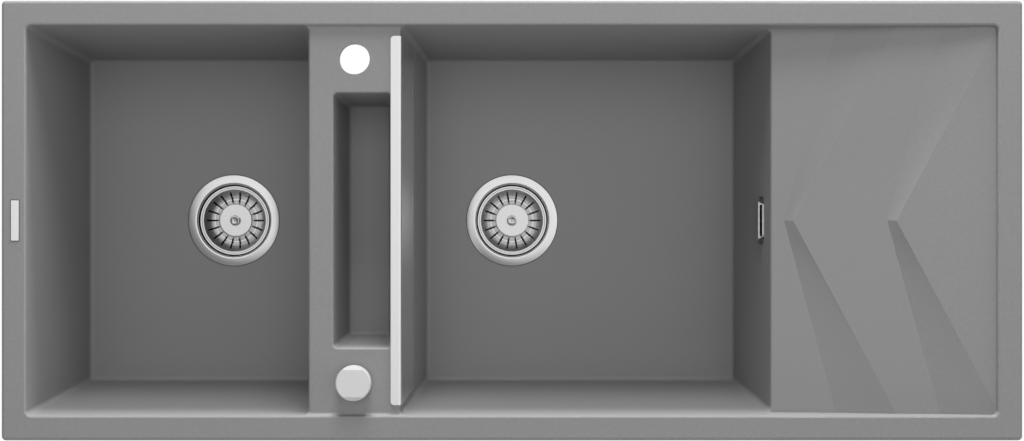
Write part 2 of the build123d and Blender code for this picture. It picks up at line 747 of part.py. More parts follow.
def plug_seal(x):
    """Rubber disc with a bevelled lip that closes the slots round the cup's centre."""
    return turned(
        x,
        0,
        [
            (STEM_R, PLUG_LOW),
            (PLUG_SEAL_R, PLUG_LOW),
            (PLUG_SEAL_R - PLUG_SEAL_THICKNESS / 2, PLUG_TOP),
            (STEM_R, PLUG_TOP),
        ],
    )


# ---- Pop-up: lift pin, cable and knob ----

CABLE_BOX_FOOT = BODY_FOOT - CABLE_BOX_HEIGHT
CABLE_END_Z = CABLE_BOX_FOOT + CABLE_BOX_HEIGHT / 2
PIN_FOOT = CABLE_BOX_FOOT + PIN_FOOT_CLEARANCE
PIN_TOP = STEM_CEILING - RUN_CLEARANCE
BUSH_TOP = DECK_TOP + WASHER_THICKNESS + BUSH_FLANGE
BUSH_FOOT = BUSH_TOP - BUSH_LENGTH
BUSH_R = TAP_HOLE_R - BUSH_CLEARANCE
KNOB_FOOT = BUSH_TOP + RUN_CLEARANCE
KNOB_TOP = KNOB_FOOT + KNOB_HEIGHT
KNOB_CEILING = KNOB_TOP - 1.5 * KNOB_WALL
DRUM_FOOT = BUSH_FOOT - DRUM_BOX_HEIGHT
CABLE_STUB_R = CABLE_R + CABLE_STUB_WALL
DRUM_OUTLET = DRUM_BOX_R - 2 * CABLE_STUB_R
# Corners of the cable's route as shares of its way to the right, to the back and down
CABLE_ROUTE = (
    (0.0, 0.0, 0.0),
    (0.0, 0.0, 0.41),
    (0.07, 0.0, 0.70),
    (0.33, 0.0, 0.97),
    (0.67, 0.11, 1.01),
    (0.93, 0.43, 1.01),
    (1.0, 0.69, 1.0),
    (1.0, 1.0, 1.0),
)


def lift_pin():
    return turned(
        RIGHT_DRAIN_X,
        0,
        [
            (0, PIN_FOOT),
            (LIFT_PIN_R, PIN_FOOT),
            (LIFT_PIN_R, PIN_TOP - EDGE),
            (LIFT_PIN_R - EDGE, PIN_TOP),
            (0, PIN_TOP),
        ],
    )


def cable_box():
    """Closed foot below the right pot in which the cable pushes the pin up."""
    body = ring(RIGHT_DRAIN_X, 0, 0, CABLE_BOX_R, CABLE_BOX_FOOT, BODY_FOOT)
    body += rod((RIGHT_DRAIN_X, LAP - CABLE_BOX_R, CABLE_END_Z), (0, -1, 0), CABLE_STUB_R, CABLE_STUB + LAP)
    end = (RIGHT_DRAIN_X, CABLE_PUSH - CABLE_BOX_R - CABLE_STUB, CABLE_END_Z)
    body -= rod(end, (0, -1, 0), CABLE_R + THREAD_CLEARANCE, CABLE_STUB)
    bore = LIFT_PIN_R + RUN_CLEARANCE
    return body - ring(RIGHT_DRAIN_X, 0, 0, bore, PIN_FOOT - RUN_CLEARANCE, BODY_FOOT + OVER)


def control_bush():
    """Threaded bush that clamps the control to the deck and bears the spindle."""
    bore = SPINDLE_R + SPINDLE_CLEARANCE
    return turned(
        KNOB_X,
        KNOB_Y,
        [
            (bore, BUSH_FOOT),
            (BUSH_R, BUSH_FOOT),
            (BUSH_R, BUSH_TOP - BUSH_FLANGE),
            (BUSH_FLANGE_R, BUSH_TOP - BUSH_FLANGE),
            (BUSH_FLANGE_R, BUSH_TOP - EDGE),
            (BUSH_FLANGE_R - EDGE, BUSH_TOP),
            (bore, BUSH_TOP),
        ],
    )


def control_washer():
    return ring(KNOB_X, KNOB_Y, BUSH_R + THREAD_CLEARANCE, BUSH_FLANGE_R, DECK_TOP, DECK_TOP + WASHER_THICKNESS)


def control_nut():
    outline = RegularPolygon(NUT_ACROSS / 2, 6, major_radius=False) - Circle(BUSH_R + THREAD_CLEARANCE)
    return Pos(KNOB_X, KNOB_Y, DECK_BOTTOM - NUT_HEIGHT) * extrude(outline, NUT_HEIGHT)


def drum_box():
    """Closed box under the bush in which the spindle's drum winds the cable."""
    outlet_y = KNOB_Y - DRUM_OUTLET
    body = ring(KNOB_X, KNOB_Y, 0, DRUM_BOX_R, DRUM_FOOT, BUSH_FOOT)
    body += rod((KNOB_X, outlet_y, DRUM_FOOT + LAP), (0, 0, -1), CABLE_STUB_R, CABLE_STUB + LAP)
    end = (KNOB_X, outlet_y, DRUM_FOOT - CABLE_STUB + CABLE_PUSH)
    body -= rod(end, (0, 0, -1), CABLE_R + THREAD_CLEARANCE, CABLE_STUB)
    bore = SPINDLE_R + SPINDLE_CLEARANCE
    return body - ring(KNOB_X, KNOB_Y, 0, bore, DRUM_FOOT + DRUM_FLOOR, BUSH_FOOT + OVER)


def cable_corners():
    """From the drum box down between the bowls, under the right one and into the cable box from the front."""
    start = Vector(KNOB_X, KNOB_Y - DRUM_OUTLET, DRUM_FOOT - CABLE_STUB + CABLE_PUSH)
    way = Vector(RIGHT_DRAIN_X, CABLE_PUSH - CABLE_BOX_R - CABLE_STUB, CABLE_END_Z) - start
    return [start + Vector(way.X * right, way.Y * back, way.Z * down) for right, back, down in CABLE_ROUTE]


def bend_radii(corners):
    """Largest even bends that the runs of a route leave room for."""
    radii = []
    for before, corner, after in zip(corners, corners[1:], corners[2:]):
        turn = radians((corner - before).get_angle(after - corner))
        shorter = min((corner - before).length, (after - corner).length)
        radii.append(0.45 * shorter / tan(turn / 2))
    return radii


def control_cable():
    """Sheathed cable in one piece, pushed into the stubs of its two boxes."""
    corners = cable_corners()
    path = FilletPolyline(*corners, radius=bend_radii(corners))
    return sweep(Plane(origin=path @ 0, z_dir=path % 0) * Circle(CABLE_R), path=path)


def knob():
    """Turning cap with two flats on its top, pressed on the spindle."""
    bore = SPINDLE_R + SPINDLE_CLEARANCE
    hub = bore + KNOB_HUB
    hub_foot = KNOB_FOOT + RUN_CLEARANCE
    cap = turned(
        KNOB_X,
        KNOB_Y,
        [
            (0, KNOB_TOP),
            (KNOB_R - KNOB_EDGE, KNOB_TOP),
            (KNOB_R, KNOB_TOP - KNOB_EDGE),
            (KNOB_R, KNOB_FOOT),
            (KNOB_R - KNOB_WALL, KNOB_FOOT),
            (KNOB_R - KNOB_WALL, KNOB_CEILING),
            (hub, KNOB_CEILING),
            (hub, hub_foot),
            (bore, hub_foot),
            (bore, KNOB_CEILING),
            (0, KNOB_CEILING),
        ],
    )
    across = KNOB_R - KNOB_FLAT
    for side in (-1, 1):
        start = KNOB_Y + side * KNOB_FLAT
        end = KNOB_Y + side * (KNOB_R + across)
        slice_outline = make_face(
            Polyline(
                (start, KNOB_TOP),
                (end, KNOB_TOP - 2 * KNOB_FLAT_DROP),
                (end, KNOB_TOP + OVER),
                (start, KNOB_TOP + OVER),
                close=True,
            )
        )
        cap -= Pos(KNOB_X, 0, 0) * extrude(Plane.YZ * slice_outline, amount=KNOB_R, both=True)
    return cap


def spindle():
    return ring(KNOB_X, KNOB_Y, 0, SPINDLE_R, DRUM_FOOT + DRUM_FLOOR + RUN_CLEARANCE, KNOB_CEILING)


# ---- Overflow ----

COVER_BACK = -POCKET_DEPTH
COVER_SLOT_TOP = COVER_PROUD - COVER_STEEL
WALL_BACK = -WALL_ACROSS
BOX_FRONT = WALL_BACK - OVERFLOW_GASKET
BOX_BACK = BOX_FRONT - OVERFLOW_BOX_DEPTH
HOSE_END_X = RIGHT_DRAIN_X + BODY_R + HOSE_FROM_POT
HOSE_X = OVERFLOW_X + (-BOX_FRONT + OVERFLOW_BOX_DEPTH / 2) * cos(atan(DRAFT_SLOPE))
HOSE_TOP = OVERFLOW_Z - OVERFLOW_BOX_HEIGHT / 2 - HOSE_FROM_BOX


def cover_block(inset, high):
    """Drafted block from the pocket's floor to a distance from the wall, smaller than the cover by an inset."""
    spread = (COVER_LENGTH - COVER_BACK_LENGTH) / (COVER_PROUD - COVER_BACK)
    sections = []
    for distance in (COVER_BACK, high):
        length = COVER_BACK_LENGTH + (distance - COVER_BACK) * spread
        outline = RectangleRounded(length - 2 * inset, COVER_HEIGHT - 2 * inset, COVER_CORNER - inset)
        sections.append(OVERFLOW.offset(distance) * outline)
    return loft(sections, ruled=True)


def overflow_screw_blank(gap):
    """Countersunk screw through the cover into the box's boss, grown by a gap."""
    head_r = OVERFLOW_SCREW_HEAD_R + gap
    shank_r = OVERFLOW_SCREW_R + gap
    end = BOX_FRONT - OVERFLOW_SCREW_REACH - gap
    neck = COVER_PROUD + shank_r - head_r
    profile = [(0, COVER_PROUD), (head_r, COVER_PROUD), (shank_r, neck), (shank_r, end), (0, end)]
    return OVERFLOW.location * turned(0, 0, profile)


def overflow_cover():
    """Steel cap over the hole: closed front, slanted ends and a long slot in its top and in its bottom."""
    cap = cover_block(0, COVER_PROUD) - cover_block(COVER_STEEL, COVER_SLOT_TOP)
    slot = Rectangle(COVER_LENGTH - 2 * COVER_SLOT_END, 2 * COVER_HEIGHT)
    cap -= on_overflow(slot, COVER_SLOT_TOP - COVER_SLOT, COVER_SLOT_TOP)
    return cap - overflow_screw_blank(THREAD_CLEARANCE)


def overflow_screw():
    slot = Rectangle(2 * OVERFLOW_SCREW_HEAD_R, OVERFLOW_SCREW_SLOT)
    return overflow_screw_blank(0) - on_overflow(slot, COVER_PROUD - OVERFLOW_SCREW_SLOT, COVER_PROUD)


def overflow_gasket():
    outline = RectangleRounded(OVERFLOW_BOX_LENGTH, OVERFLOW_BOX_HEIGHT, OVERFLOW_BOX_CORNER)
    hole = RectangleRounded(OVERFLOW_HOLE_LENGTH, OVERFLOW_HOLE_HEIGHT, OVERFLOW_HOLE_HEIGHT / 3)
    return on_overflow(outline - hole, BOX_FRONT, WALL_BACK)


def overflow_box():
    """Plastic box behind the wall with a boss for the screw and a spigot for the hose."""
    wall = OVERFLOW_BOX_WALL
    outline = RectangleRounded(OVERFLOW_BOX_LENGTH, OVERFLOW_BOX_HEIGHT, OVERFLOW_BOX_CORNER)
    inside = RectangleRounded(
        OVERFLOW_BOX_LENGTH - 2 * wall, OVERFLOW_BOX_HEIGHT - 2 * wall, OVERFLOW_BOX_CORNER - wall
    )
    body = on_overflow(outline, BOX_BACK, BOX_FRONT)
    start = (HOSE_X, 0, OVERFLOW_Z - OVERFLOW_BOX_HEIGHT / 4)
    reach = start[2] - HOSE_TOP + HOSE_PUSH
    body += rod(start, (0, 0, -1), OVERFLOW_SPIGOT_R, reach)
    body -= on_overflow(inside, BOX_BACK + wall, BOX_FRONT)
    body -= rod(start, (0, 0, -1), OVERFLOW_SPIGOT_R - PIPE_WALL, reach + OVER)
    body += on_overflow(Circle(OVERFLOW_BOSS_R), BOX_BACK + wall / 2, BOX_FRONT)
    return body - overflow_screw_blank(THREAD_CLEARANCE)


def overflow_hose():
    """Hose pushed over the box's spigot and over the right pot's."""
    path = FilletPolyline(
        (HOSE_X, 0, HOSE_TOP), (HOSE_X, 0, PIPE_Z), (HOSE_END_X, 0, PIPE_Z), radius=HOSE_BEND
    )
    start = Plane(origin=path @ 0, z_dir=path % 0)
    return sweep(start * (Circle(HOSE_R) - Circle(HOSE_R - HOSE_WALL)), path=path)


def hose_clips():
    """Two bands that hold the hose's ends, each with its screw ear."""
    inner = HOSE_R + THREAD_CLEARANCE
    clips = []
    for end, axis in ((Vector(HOSE_X, 0, HOSE_TOP), (0, 0, -1)), (Vector(HOSE_END_X, 0, PIPE_Z), (1, 0, 0))):
        start = end + Vector(*axis) * CLIP_SETBACK
        middle = start + Vector(*axis) * (CLIP_WIDTH / 2)
        band = tube(start, axis, inner + CLIP_STEEL, inner, CLIP_WIDTH)
        ear = Box(CLIP_WIDTH - 1, CLIP_EAR, CLIP_WIDTH - 1, align=(Align.CENTER, Align.MIN, Align.CENTER))
        band += Pos(middle.X, inner, middle.Z) * ear - rod(start, axis, inner + CLIP_STEEL / 2, CLIP_WIDTH)
        clips.append(band.solid())
    return Compound(clips)


# ---- Pipes and trap ----

LEFT_MOUTH = LEFT_DRAIN_X + SOCKET_FROM_AXIS + SOCKET_LENGTH
RIGHT_MOUTH = RIGHT_DRAIN_X - SOCKET_FROM_AXIS - SOCKET_LENGTH
TEE_STOP = TEE_HALF - SOCKET_LENGTH
TRAP_MOUTH = TRAP_TOP + SOCKET_LENGTH
TRAP_FOOT = TRAP_TOP - TRAP_HEIGHT
OUTLET_Z = TRAP_TOP - TRAP_OUTLET_DROP
OUTLET_MOUTH = TRAP_R + TRAP_SHOULDER + SOCKET_LENGTH
OUTLET_STOP = OUTLET_MOUTH - SOCKET_LENGTH
TRAP_CUP_TOP = OUTLET_Z - SOCKET_R - TRAP_CUP_GAP
TRAP_CUP_FOOT = TRAP_CUP_TOP - TRAP_CUP_HEIGHT
DIP_TUBE_FOOT = TRAP_CUP_FOOT + DIP_TUBE_CLEARANCE
TRAP_LEDGE = TRAP_FOOT - TRAP_SEAL_THICKNESS
PIPE_JOINTS = (
    ((LEFT_MOUTH, 0, PIPE_Z), (1, 0, 0)),
    ((TEE_X - TEE_HALF, 0, PIPE_Z), (-1, 0, 0)),
    ((TEE_X + TEE_HALF, 0, PIPE_Z), (1, 0, 0)),
    ((RIGHT_MOUTH, 0, PIPE_Z), (-1, 0, 0)),
    ((TEE_X, 0, TRAP_MOUTH), (0, 0, 1)),
    ((TEE_X, OUTLET_MOUTH, OUTLET_Z), (0, 1, 0)),
)


def pipe_between(left, right):
    start = left + SOCKET_CLEARANCE
    return tube((start, 0, PIPE_Z), (1, 0, 0), PIPE_R, PIPE_R - PIPE_WALL, right - left - 2 * SOCKET_CLEARANCE)


def tee():
    """Joins the two wastes, drops into the trap and has a branch in front for an appliance hose."""
    left = (TEE_X - TEE_HALF, 0, PIPE_Z)
    right = (TEE_X + TEE_HALF, 0, PIPE_Z)
    centre = (TEE_X, 0, PIPE_Z)
    stub = PIPE_Z - TRAP_TOP - SOCKET_CLEARANCE
    bore = PIPE_R - PIPE_WALL
    body = rod(left, (1, 0, 0), SOCKET_R, 2 * TEE_HALF)
    body += rod(centre, (0, 0, -1), PIPE_R, stub)
    body += rod(centre, (0, -1, 0), BRANCH_R, BRANCH_END)
    body -= rod(left, (1, 0, 0), bore, 2 * TEE_HALF)
    body -= rod(centre, (0, 0, -1), bore, stub)
    body -= rod(centre, (0, -1, 0), SPIGOT_R - SPIGOT_WALL, BRANCH_END)
    for mouth, inward in ((left, 1), (right, -1)):
        body -= rod(mouth, (inward, 0, 0), PIPE_R + SOCKET_CLEARANCE, SOCKET_LENGTH)
    return body


def appliance_nozzle():
    """Hose tail clamped on the tee's branch by its nut."""
    start = (TEE_X, -BRANCH_END, PIPE_Z)
    reach = SPIGOT_COLLAR_LENGTH + SPIGOT_LENGTH
    tail = rod(start, (0, -1, 0), BRANCH_R, SPIGOT_FLANGE)
    tail += rod(start, (0, -1, 0), SPIGOT_R + SPIGOT_COLLAR, SPIGOT_COLLAR_LENGTH)
    tail += rod(start, (0, -1, 0), SPIGOT_R, reach)
    return tail - rod(start, (0, -1, 0), SPIGOT_R - SPIGOT_WALL, reach)


def appliance_nut():
    outside = RegularPolygon(BRANCH_R + NUT_WALL, NUT_RIBS, major_radius=False)
    collar_r = SPIGOT_R + SPIGOT_COLLAR + THREAD_CLEARANCE
    grip = BRANCH_NUT_GRIP + SPIGOT_FLANGE + THREAD_CLEARANCE
    start = Plane(origin=(TEE_X, BRANCH_NUT_GRIP - BRANCH_END, PIPE_Z), z_dir=(0, -1, 0))
    nut = extrude(start * (outside - Circle(BRANCH_R + THREAD_CLEARANCE)), amount=grip)
    return nut + extrude(start.offset(grip) * (outside - Circle(collar_r)), amount=SPIGOT_FLANGE)


def joint_nut(mouth, axis):
    """Compression nut screwed over a socket's mouth."""
    plane = Plane(origin=mouth, z_dir=axis)
    outside = RegularPolygon(NUT_R, NUT_RIBS, major_radius=False)
    grip = extrude(
        plane.offset(-NUT_GRIP) * (outside - Circle(SOCKET_R + THREAD_CLEARANCE)),
        amount=NUT_GRIP + NUT_WALL,
    )
    lip = extrude(plane.offset(NUT_WALL) * (outside - Circle(PIPE_R + SOCKET_CLEARANCE)), amount=NUT_WALL)
    return (grip + lip).solid()


def joint_seal(mouth, axis):
    """Rubber ring squeezed between the nut's lip, the socket and the pipe."""
    plane = Plane(origin=mouth, z_dir=axis)
    section = Circle(SOCKET_R) - Circle(PIPE_R + THREAD_CLEARANCE)
    return extrude(plane * section, amount=NUT_WALL - THREAD_CLEARANCE).solid()


def pipe_nuts():
    return Compound([joint_nut(mouth, axis) for mouth, axis in PIPE_JOINTS])


def pipe_seals():
    return Compound([joint_seal(mouth, axis) for mouth, axis in PIPE_JOINTS])


def trap_head():
    """Upper half of the bottle trap: inlet socket, dip tube and side outlet."""
    inner = TRAP_R - TRAP_WALL
    head = turned(
        TEE_X,
        0,
        [
            (PIPE_R + SOCKET_CLEARANCE, TRAP_MOUTH),
            (SOCKET_R, TRAP_MOUTH),
            (SOCKET_R, TRAP_TOP),
            (TRAP_R, TRAP_TOP - TRAP_SHOULDER),
            (TRAP_R, TRAP_FOOT),
            (inner, TRAP_FOOT),
            (inner, TRAP_TOP - TRAP_SHOULDER - PIPE_WALL),
            (PIPE_R, TRAP_TOP - TRAP_SHOULDER),
            (PIPE_R, DIP_TUBE_FOOT),
            (PIPE_R - PIPE_WALL, DIP_TUBE_FOOT),
            (PIPE_R - PIPE_WALL, TRAP_TOP),
            (PIPE_R + SOCKET_CLEARANCE, TRAP_TOP),
        ],
    )
    start = (TEE_X, inner - LAP, OUTLET_Z)
    socket = rod(start, (0, 1, 0), SOCKET_R, OUTLET_MOUTH - inner + LAP)
    head += socket - ring(TEE_X, 0, 0, inner, TRAP_FOOT, TRAP_TOP)
    head -= rod(start, (0, 1, 0), PIPE_R - PIPE_WALL, OUTLET_MOUTH)
    stop = (TEE_X, OUTLET_STOP, OUTLET_Z)
    return head - rod(stop, (0, 1, 0), PIPE_R + SOCKET_CLEARANCE, SOCKET_LENGTH + OVER)


def trap_cup():
    """Bottle screwed up over the head, taken off for cleaning."""
    inner = TRAP_R + THREAD_CLEARANCE
    wall = inner - TRAP_WALL
    outer = inner + TRAP_WALL + TRAP_CUP_GAP
    dish = outer - TRAP_CUP_DISH
    foot = TRAP_CUP_FOOT
    rise = TRAP_CUP_FOOT + TRAP_CUP_RISE
    return turned(
        TEE_X,
        0,
        [
            (0, foot),
            (dish, foot),
            (outer, rise),
            (outer, TRAP_CUP_TOP),
            (inner, TRAP_CUP_TOP),
            (inner, TRAP_LEDGE),
            (wall, TRAP_LEDGE),
            (wall, rise),
            (dish - TRAP_WALL / 2, foot + TRAP_WALL),
            (0, foot + TRAP_WALL),
        ],
    )


def trap_seal():
    return ring(TEE_X, 0, TRAP_R - TRAP_WALL, TRAP_R, TRAP_LEDGE + THREAD_CLEARANCE, TRAP_FOOT)


def outlet_pipe():
    """Pipe to the wall, with a bead behind its free end."""
    start = OUTLET_STOP + SOCKET_CLEARANCE
    bead = OUTLET_MOUTH + OUTLET_BEAD_FROM_NUT
    end = start + OUTLET_LENGTH
    pipe = rod((TEE_X, start, OUTLET_Z), (0, 1, 0), PIPE_R, end - start)
    pipe += rod((TEE_X, bead, OUTLET_Z), (0, 1, 0), PIPE_R + OUTLET_BEAD, 2 * OUTLET_BEAD)
    return pipe - rod((TEE_X, start, OUTLET_Z), (0, 1, 0), PIPE_R - PIPE_WALL, end - start)


PARTS = {
    "sink_body": sink_body(),
    "steel_guard": steel_guard(),
    "guard_tape": guard_tape(),
    "rim_plate": rim_plate(),
    "left_strainer_cup": strainer_cup(LEFT_DRAIN_X, SCREW_R + THREAD_CLEARANCE),
    "left_cup_seal": cup_seal(LEFT_DRAIN_X),
    "left_floor_gasket": floor_gasket(LEFT_DRAIN_X),
    "left_waste_body": left_waste_body(),
    "left_centre_screw": centre_screw(),
    "left_basket": basket_cup(LEFT_DRAIN_X),
    "left_basket_knob": basket_knob(LEFT_DRAIN_X),
    "left_basket_stem": basket_stem(LEFT_DRAIN_X),
    "left_plug_seal": plug_seal(LEFT_DRAIN_X),
    "right_strainer_cup": strainer_cup(RIGHT_DRAIN_X, SLEEVE_R + THREAD_CLEARANCE),
    "right_cup_seal": cup_seal(RIGHT_DRAIN_X),
    "right_floor_gasket": floor_gasket(RIGHT_DRAIN_X),
    "right_waste_body": right_waste_body(),
    "right_centre_sleeve": centre_sleeve(),
    "right_basket": basket_cup(RIGHT_DRAIN_X),
    "right_basket_knob": basket_knob(RIGHT_DRAIN_X),
    "right_basket_stem": basket_stem(RIGHT_DRAIN_X),
    "right_plug_seal": plug_seal(RIGHT_DRAIN_X),
    "lift_pin": lift_pin(),
    "cable_box": cable_box(),
    "control_cable": control_cable(),
    "drum_box": drum_box(),
    "control_nut": control_nut(),
    "control_washer": control_washer(),
    "control_bush": control_bush(),
    "control_spindle": spindle(),
    "control_knob": knob(),
    "overflow_cover": overflow_cover(),
    "overflow_screw": overflow_screw(),
    "overflow_gasket": overflow_gasket(),
    "overflow_box": overflow_box(),
    "overflow_hose": overflow_hose(),
    "hose_clips": hose_clips(),
    "left_pipe": pipe_between(LEFT_MOUTH - SOCKET_LENGTH, TEE_X - TEE_STOP),
    "right_pipe": pipe_between(TEE_X + TEE_STOP, RIGHT_MOUTH + SOCKET_LENGTH),
    "waste_tee": tee(),
    "appliance_nozzle": appliance_nozzle(),
    "appliance_nut": appliance_nut(),
    "pipe_nuts": pipe_nuts(),
    "pipe_seals": pipe_seals(),
    "trap_head": trap_head(),
    "trap_seal": trap_seal(),
    "trap_cup": trap_cup(),
    "outlet_pipe": outlet_pipe(),
}

os.makedirs("parts", exist_ok=True)
for name, shape in PARTS.items():
    export_step(shape, f"parts/{name}.step")
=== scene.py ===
from math import cos, pi, sin, tau

import bpy
from mathutils import Matrix, Vector


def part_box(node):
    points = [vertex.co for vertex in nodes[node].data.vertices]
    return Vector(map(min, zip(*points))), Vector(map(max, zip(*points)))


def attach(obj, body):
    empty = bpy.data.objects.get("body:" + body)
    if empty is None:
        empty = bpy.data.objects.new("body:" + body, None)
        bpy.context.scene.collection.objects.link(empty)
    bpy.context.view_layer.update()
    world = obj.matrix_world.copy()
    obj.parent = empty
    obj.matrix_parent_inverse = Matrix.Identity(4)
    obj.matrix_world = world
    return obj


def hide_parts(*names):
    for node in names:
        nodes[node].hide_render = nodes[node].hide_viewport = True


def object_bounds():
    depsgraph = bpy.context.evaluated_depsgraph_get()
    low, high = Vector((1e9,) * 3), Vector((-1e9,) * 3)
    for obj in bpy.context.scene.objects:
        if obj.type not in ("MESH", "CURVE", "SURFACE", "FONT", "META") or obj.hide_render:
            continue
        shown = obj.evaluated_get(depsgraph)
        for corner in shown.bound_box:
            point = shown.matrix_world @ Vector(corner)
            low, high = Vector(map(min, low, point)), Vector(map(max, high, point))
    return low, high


# Inset composite sink, seen straight from above.
# Metres, in the CAD's frame: z = 0 is the worktop's surface.

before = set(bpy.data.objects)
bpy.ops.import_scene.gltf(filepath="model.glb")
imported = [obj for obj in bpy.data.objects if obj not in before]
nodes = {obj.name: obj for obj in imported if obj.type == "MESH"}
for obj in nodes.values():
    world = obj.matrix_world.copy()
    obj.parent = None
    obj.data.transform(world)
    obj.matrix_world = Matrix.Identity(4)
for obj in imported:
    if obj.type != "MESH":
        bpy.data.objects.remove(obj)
cad_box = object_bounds()

FLOOR_GAP = 0.004
FLOOR_Z = cad_box[0].z - FLOOR_GAP
CAMERA_HEIGHT = 1.788
CAMERA_LENS = 55.15

# Axes of the round pieces
LEFT_DRAIN = (-0.351, 0.0)
RIGHT_DRAIN = (0.0, 0.0)
DECK_X = -0.1795
KNOB = (DECK_X, -0.184)

# Strainer cups: outer radius, radius inside which the flange is flat, how fast it falls off further
# out, and the heights between which the cup's inside turns to painted shade
FLANGE_R = 0.057
LIP_R = 0.046
FLANGE_DOME = 8.0
CUP_SHADE = (-0.1965, -0.1935)

# Overflow cover: the heights between which its front turns to painted shade
COVER_SHADE = (-0.0475, -0.0445)

# Blank plate on the rim: its middle and its half sizes
PLATE_X = -0.564
PLATE_HALF = (0.0045, 0.023)

# Casting: painted contact shade round what is let into it, from and to which distance and how
# bright it stays
CONTACT_SHADE = (0.0004, 0.0014)
CONTACT_SHADE_LEVEL = 0.4
# Grain: the heights between which it grows, and its contrast in the bowls and on the deck
GRAIN_RISE = (-0.012, 0.0)
GRAIN_CONTRAST = (0.12, 0.45)
# Drainer: where it starts, how upright a ramp's normal is, and how much further the ramps lean
DRAINER_START = (0.300, 0.306)
RAMP_UPRIGHT = (0.93, 0.97)
RAMP_LEAN = 1.3

LINE_WIDTH = 0.0005
LINE_DEPTH = 0.00001

# Underside pipes: each compression joint has its socket's mouth and the way that its pipe leaves
PIPE_Z = -0.233
OUTLET_Z = -0.318
TRAP_MOUTH_Z = -0.270
PIPE_JOINTS = (
    ((-0.274, 0.0, PIPE_Z), (1, 0, 0)),
    ((DECK_X - 0.034, 0.0, PIPE_Z), (-1, 0, 0)),
    ((DECK_X + 0.034, 0.0, PIPE_Z), (1, 0, 0)),
    ((-0.077, 0.0, PIPE_Z), (-1, 0, 0)),
    ((DECK_X, 0.0, TRAP_MOUTH_Z), (0, 0, 1)),
    ((DECK_X, 0.059, OUTLET_Z), (0, 1, 0)),
)
POT_JOINTS = (PIPE_JOINTS[0], PIPE_JOINTS[3])
PIPE_R = 0.020
SOCKET_R = 0.024
SOCKET_WALL = 0.004
SOCKET_LENGTH = 0.022
ROOT_FROM_AXIS = (0.036, 0.0575)
NUT_R = 0.0273
NUT_GRIP = 0.014
NUT_WALL = 0.0035
NUT_PLAY = 0.0001
NUT_MOUTH_PLAY = 0.0003
NUT_EDGE = 0.001
NUT_RIBS = 30
THREAD_PITCH = 0.0015
HOSE_R = 0.012
HOSE_BEND = 0.06
HOSE_CUFF = 0.018
CUFF_WALL = 0.0015
CUFF_OVER = 0.002
SHEATH_R = 0.0025

# Control cable: the corners of its way from drum box to cable box, and the radius of each bend
CABLE_CORNERS = (
    (DECK_X, -0.198, -0.048),
    (DECK_X, -0.198, -0.1394),
    (-0.1669, -0.198, -0.2041),
    (-0.1203, -0.198, -0.2643),
    (-0.0592, -0.178, -0.2732),
    (-0.0126, -0.1197, -0.2732),
    (0.0, -0.0724, -0.271),
    (0.0, -0.016, -0.271),
)
CABLE_BENDS = (0.308, 0.125, 0.068, 0.096, 0.104, 0.166)


# ---- Node helpers ----


def new_group(name, inputs, outputs):
    """Shader node group with float inputs; returns its tree and its two end nodes."""
    tree = bpy.data.node_groups.new(name, "ShaderNodeTree")
    for label, value in inputs:
        socket = tree.interface.new_socket(label, in_out="INPUT", socket_type="NodeSocketFloat")
        socket.default_value = value
    for label, kind in outputs:
        tree.interface.new_socket(label, in_out="OUTPUT", socket_type=kind)
    return tree, tree.nodes.new("NodeGroupInput"), tree.nodes.new("NodeGroupOutput")


def add(tree, kind, **settings):
    """New node; a setting that isn't the node's own sets the input socket of that name."""
    node = tree.nodes.new(kind)
    for label, value in settings.items():
        if hasattr(node, label):
            setattr(node, label, value)
        else:
            node.inputs[label.replace("_", " ")].default_value = value
    return node


def feed(tree, value, socket):
    """Links a socket's value to an input, or sets a plain value on it."""
    if isinstance(value, bpy.types.NodeSocket):
        tree.links.new(value, socket)
    elif value is not None:
        socket.default_value = value


def math_node(tree, operation, first, second=None, third=None):
    """Result of a sum on sockets or plain numbers."""
    node = add(tree, "ShaderNodeMath", operation=operation)
    for socket, value in zip(node.inputs, (first, second, third)):
        feed(tree, value, socket)
    return node.outputs[0]


def combine(tree, x, y, z):
    """Vector from three sockets or plain numbers."""
    node = add(tree, "ShaderNodeCombineXYZ")
    for socket, value in zip(node.inputs, (x, y, z)):
        feed(tree, value, socket)
    return node.outputs[0]


def grey(level):
    """Linear colour of a neutral grey given as its value in the picture, 0 to 255."""
    share = level / 255
    linear = share / 12.92 if share <= 0.04045 else ((share + 0.055) / 1.055) ** 2.4
    return (linear, linear, linear, 1)


# ---- Effects that several finishes share ----


def make_grain():
    """Speckled grain: a mask of light and dark flecks and a fine height."""
    tree, start, end = new_group(
        "grain",
        [("Fleck Size", 0.001), ("Contrast", 0.5)],
        [("Mask", "NodeSocketFloat"), ("Height", "NodeSocketFloat")],
    )
    place = add(tree, "ShaderNodeTexCoord")
    scale = math_node(tree, "DIVIDE", 1.0, start.outputs["Fleck Size"])
    noise = add(tree, "ShaderNodeTexNoise", Detail=3.0, Roughness=0.65)
    flecks = add(tree, "ShaderNodeTexVoronoi", feature="F1")
    for node in (noise, flecks):
        tree.links.new(place.outputs["Object"], node.inputs["Vector"])
        tree.links.new(scale, node.inputs["Scale"])
    colours = add(tree, "ShaderNodeSeparateColor")
    tree.links.new(flecks.outputs["Color"], colours.inputs[0])
    spread = math_node(tree, "SUBTRACT", colours.outputs[0], 0.5)
    fine = math_node(tree, "SUBTRACT", noise.outputs["Fac"], 0.5)
    both = math_node(tree, "ADD", spread, math_node(tree, "MULTIPLY", fine, 1.5))
    mask = math_node(tree, "ADD", math_node(tree, "MULTIPLY", both, start.outputs["Contrast"]), 0.5)
    tree.links.new(mask, end.inputs["Mask"])
    tree.links.new(noise.outputs["Fac"], end.inputs["Height"])
    return tree


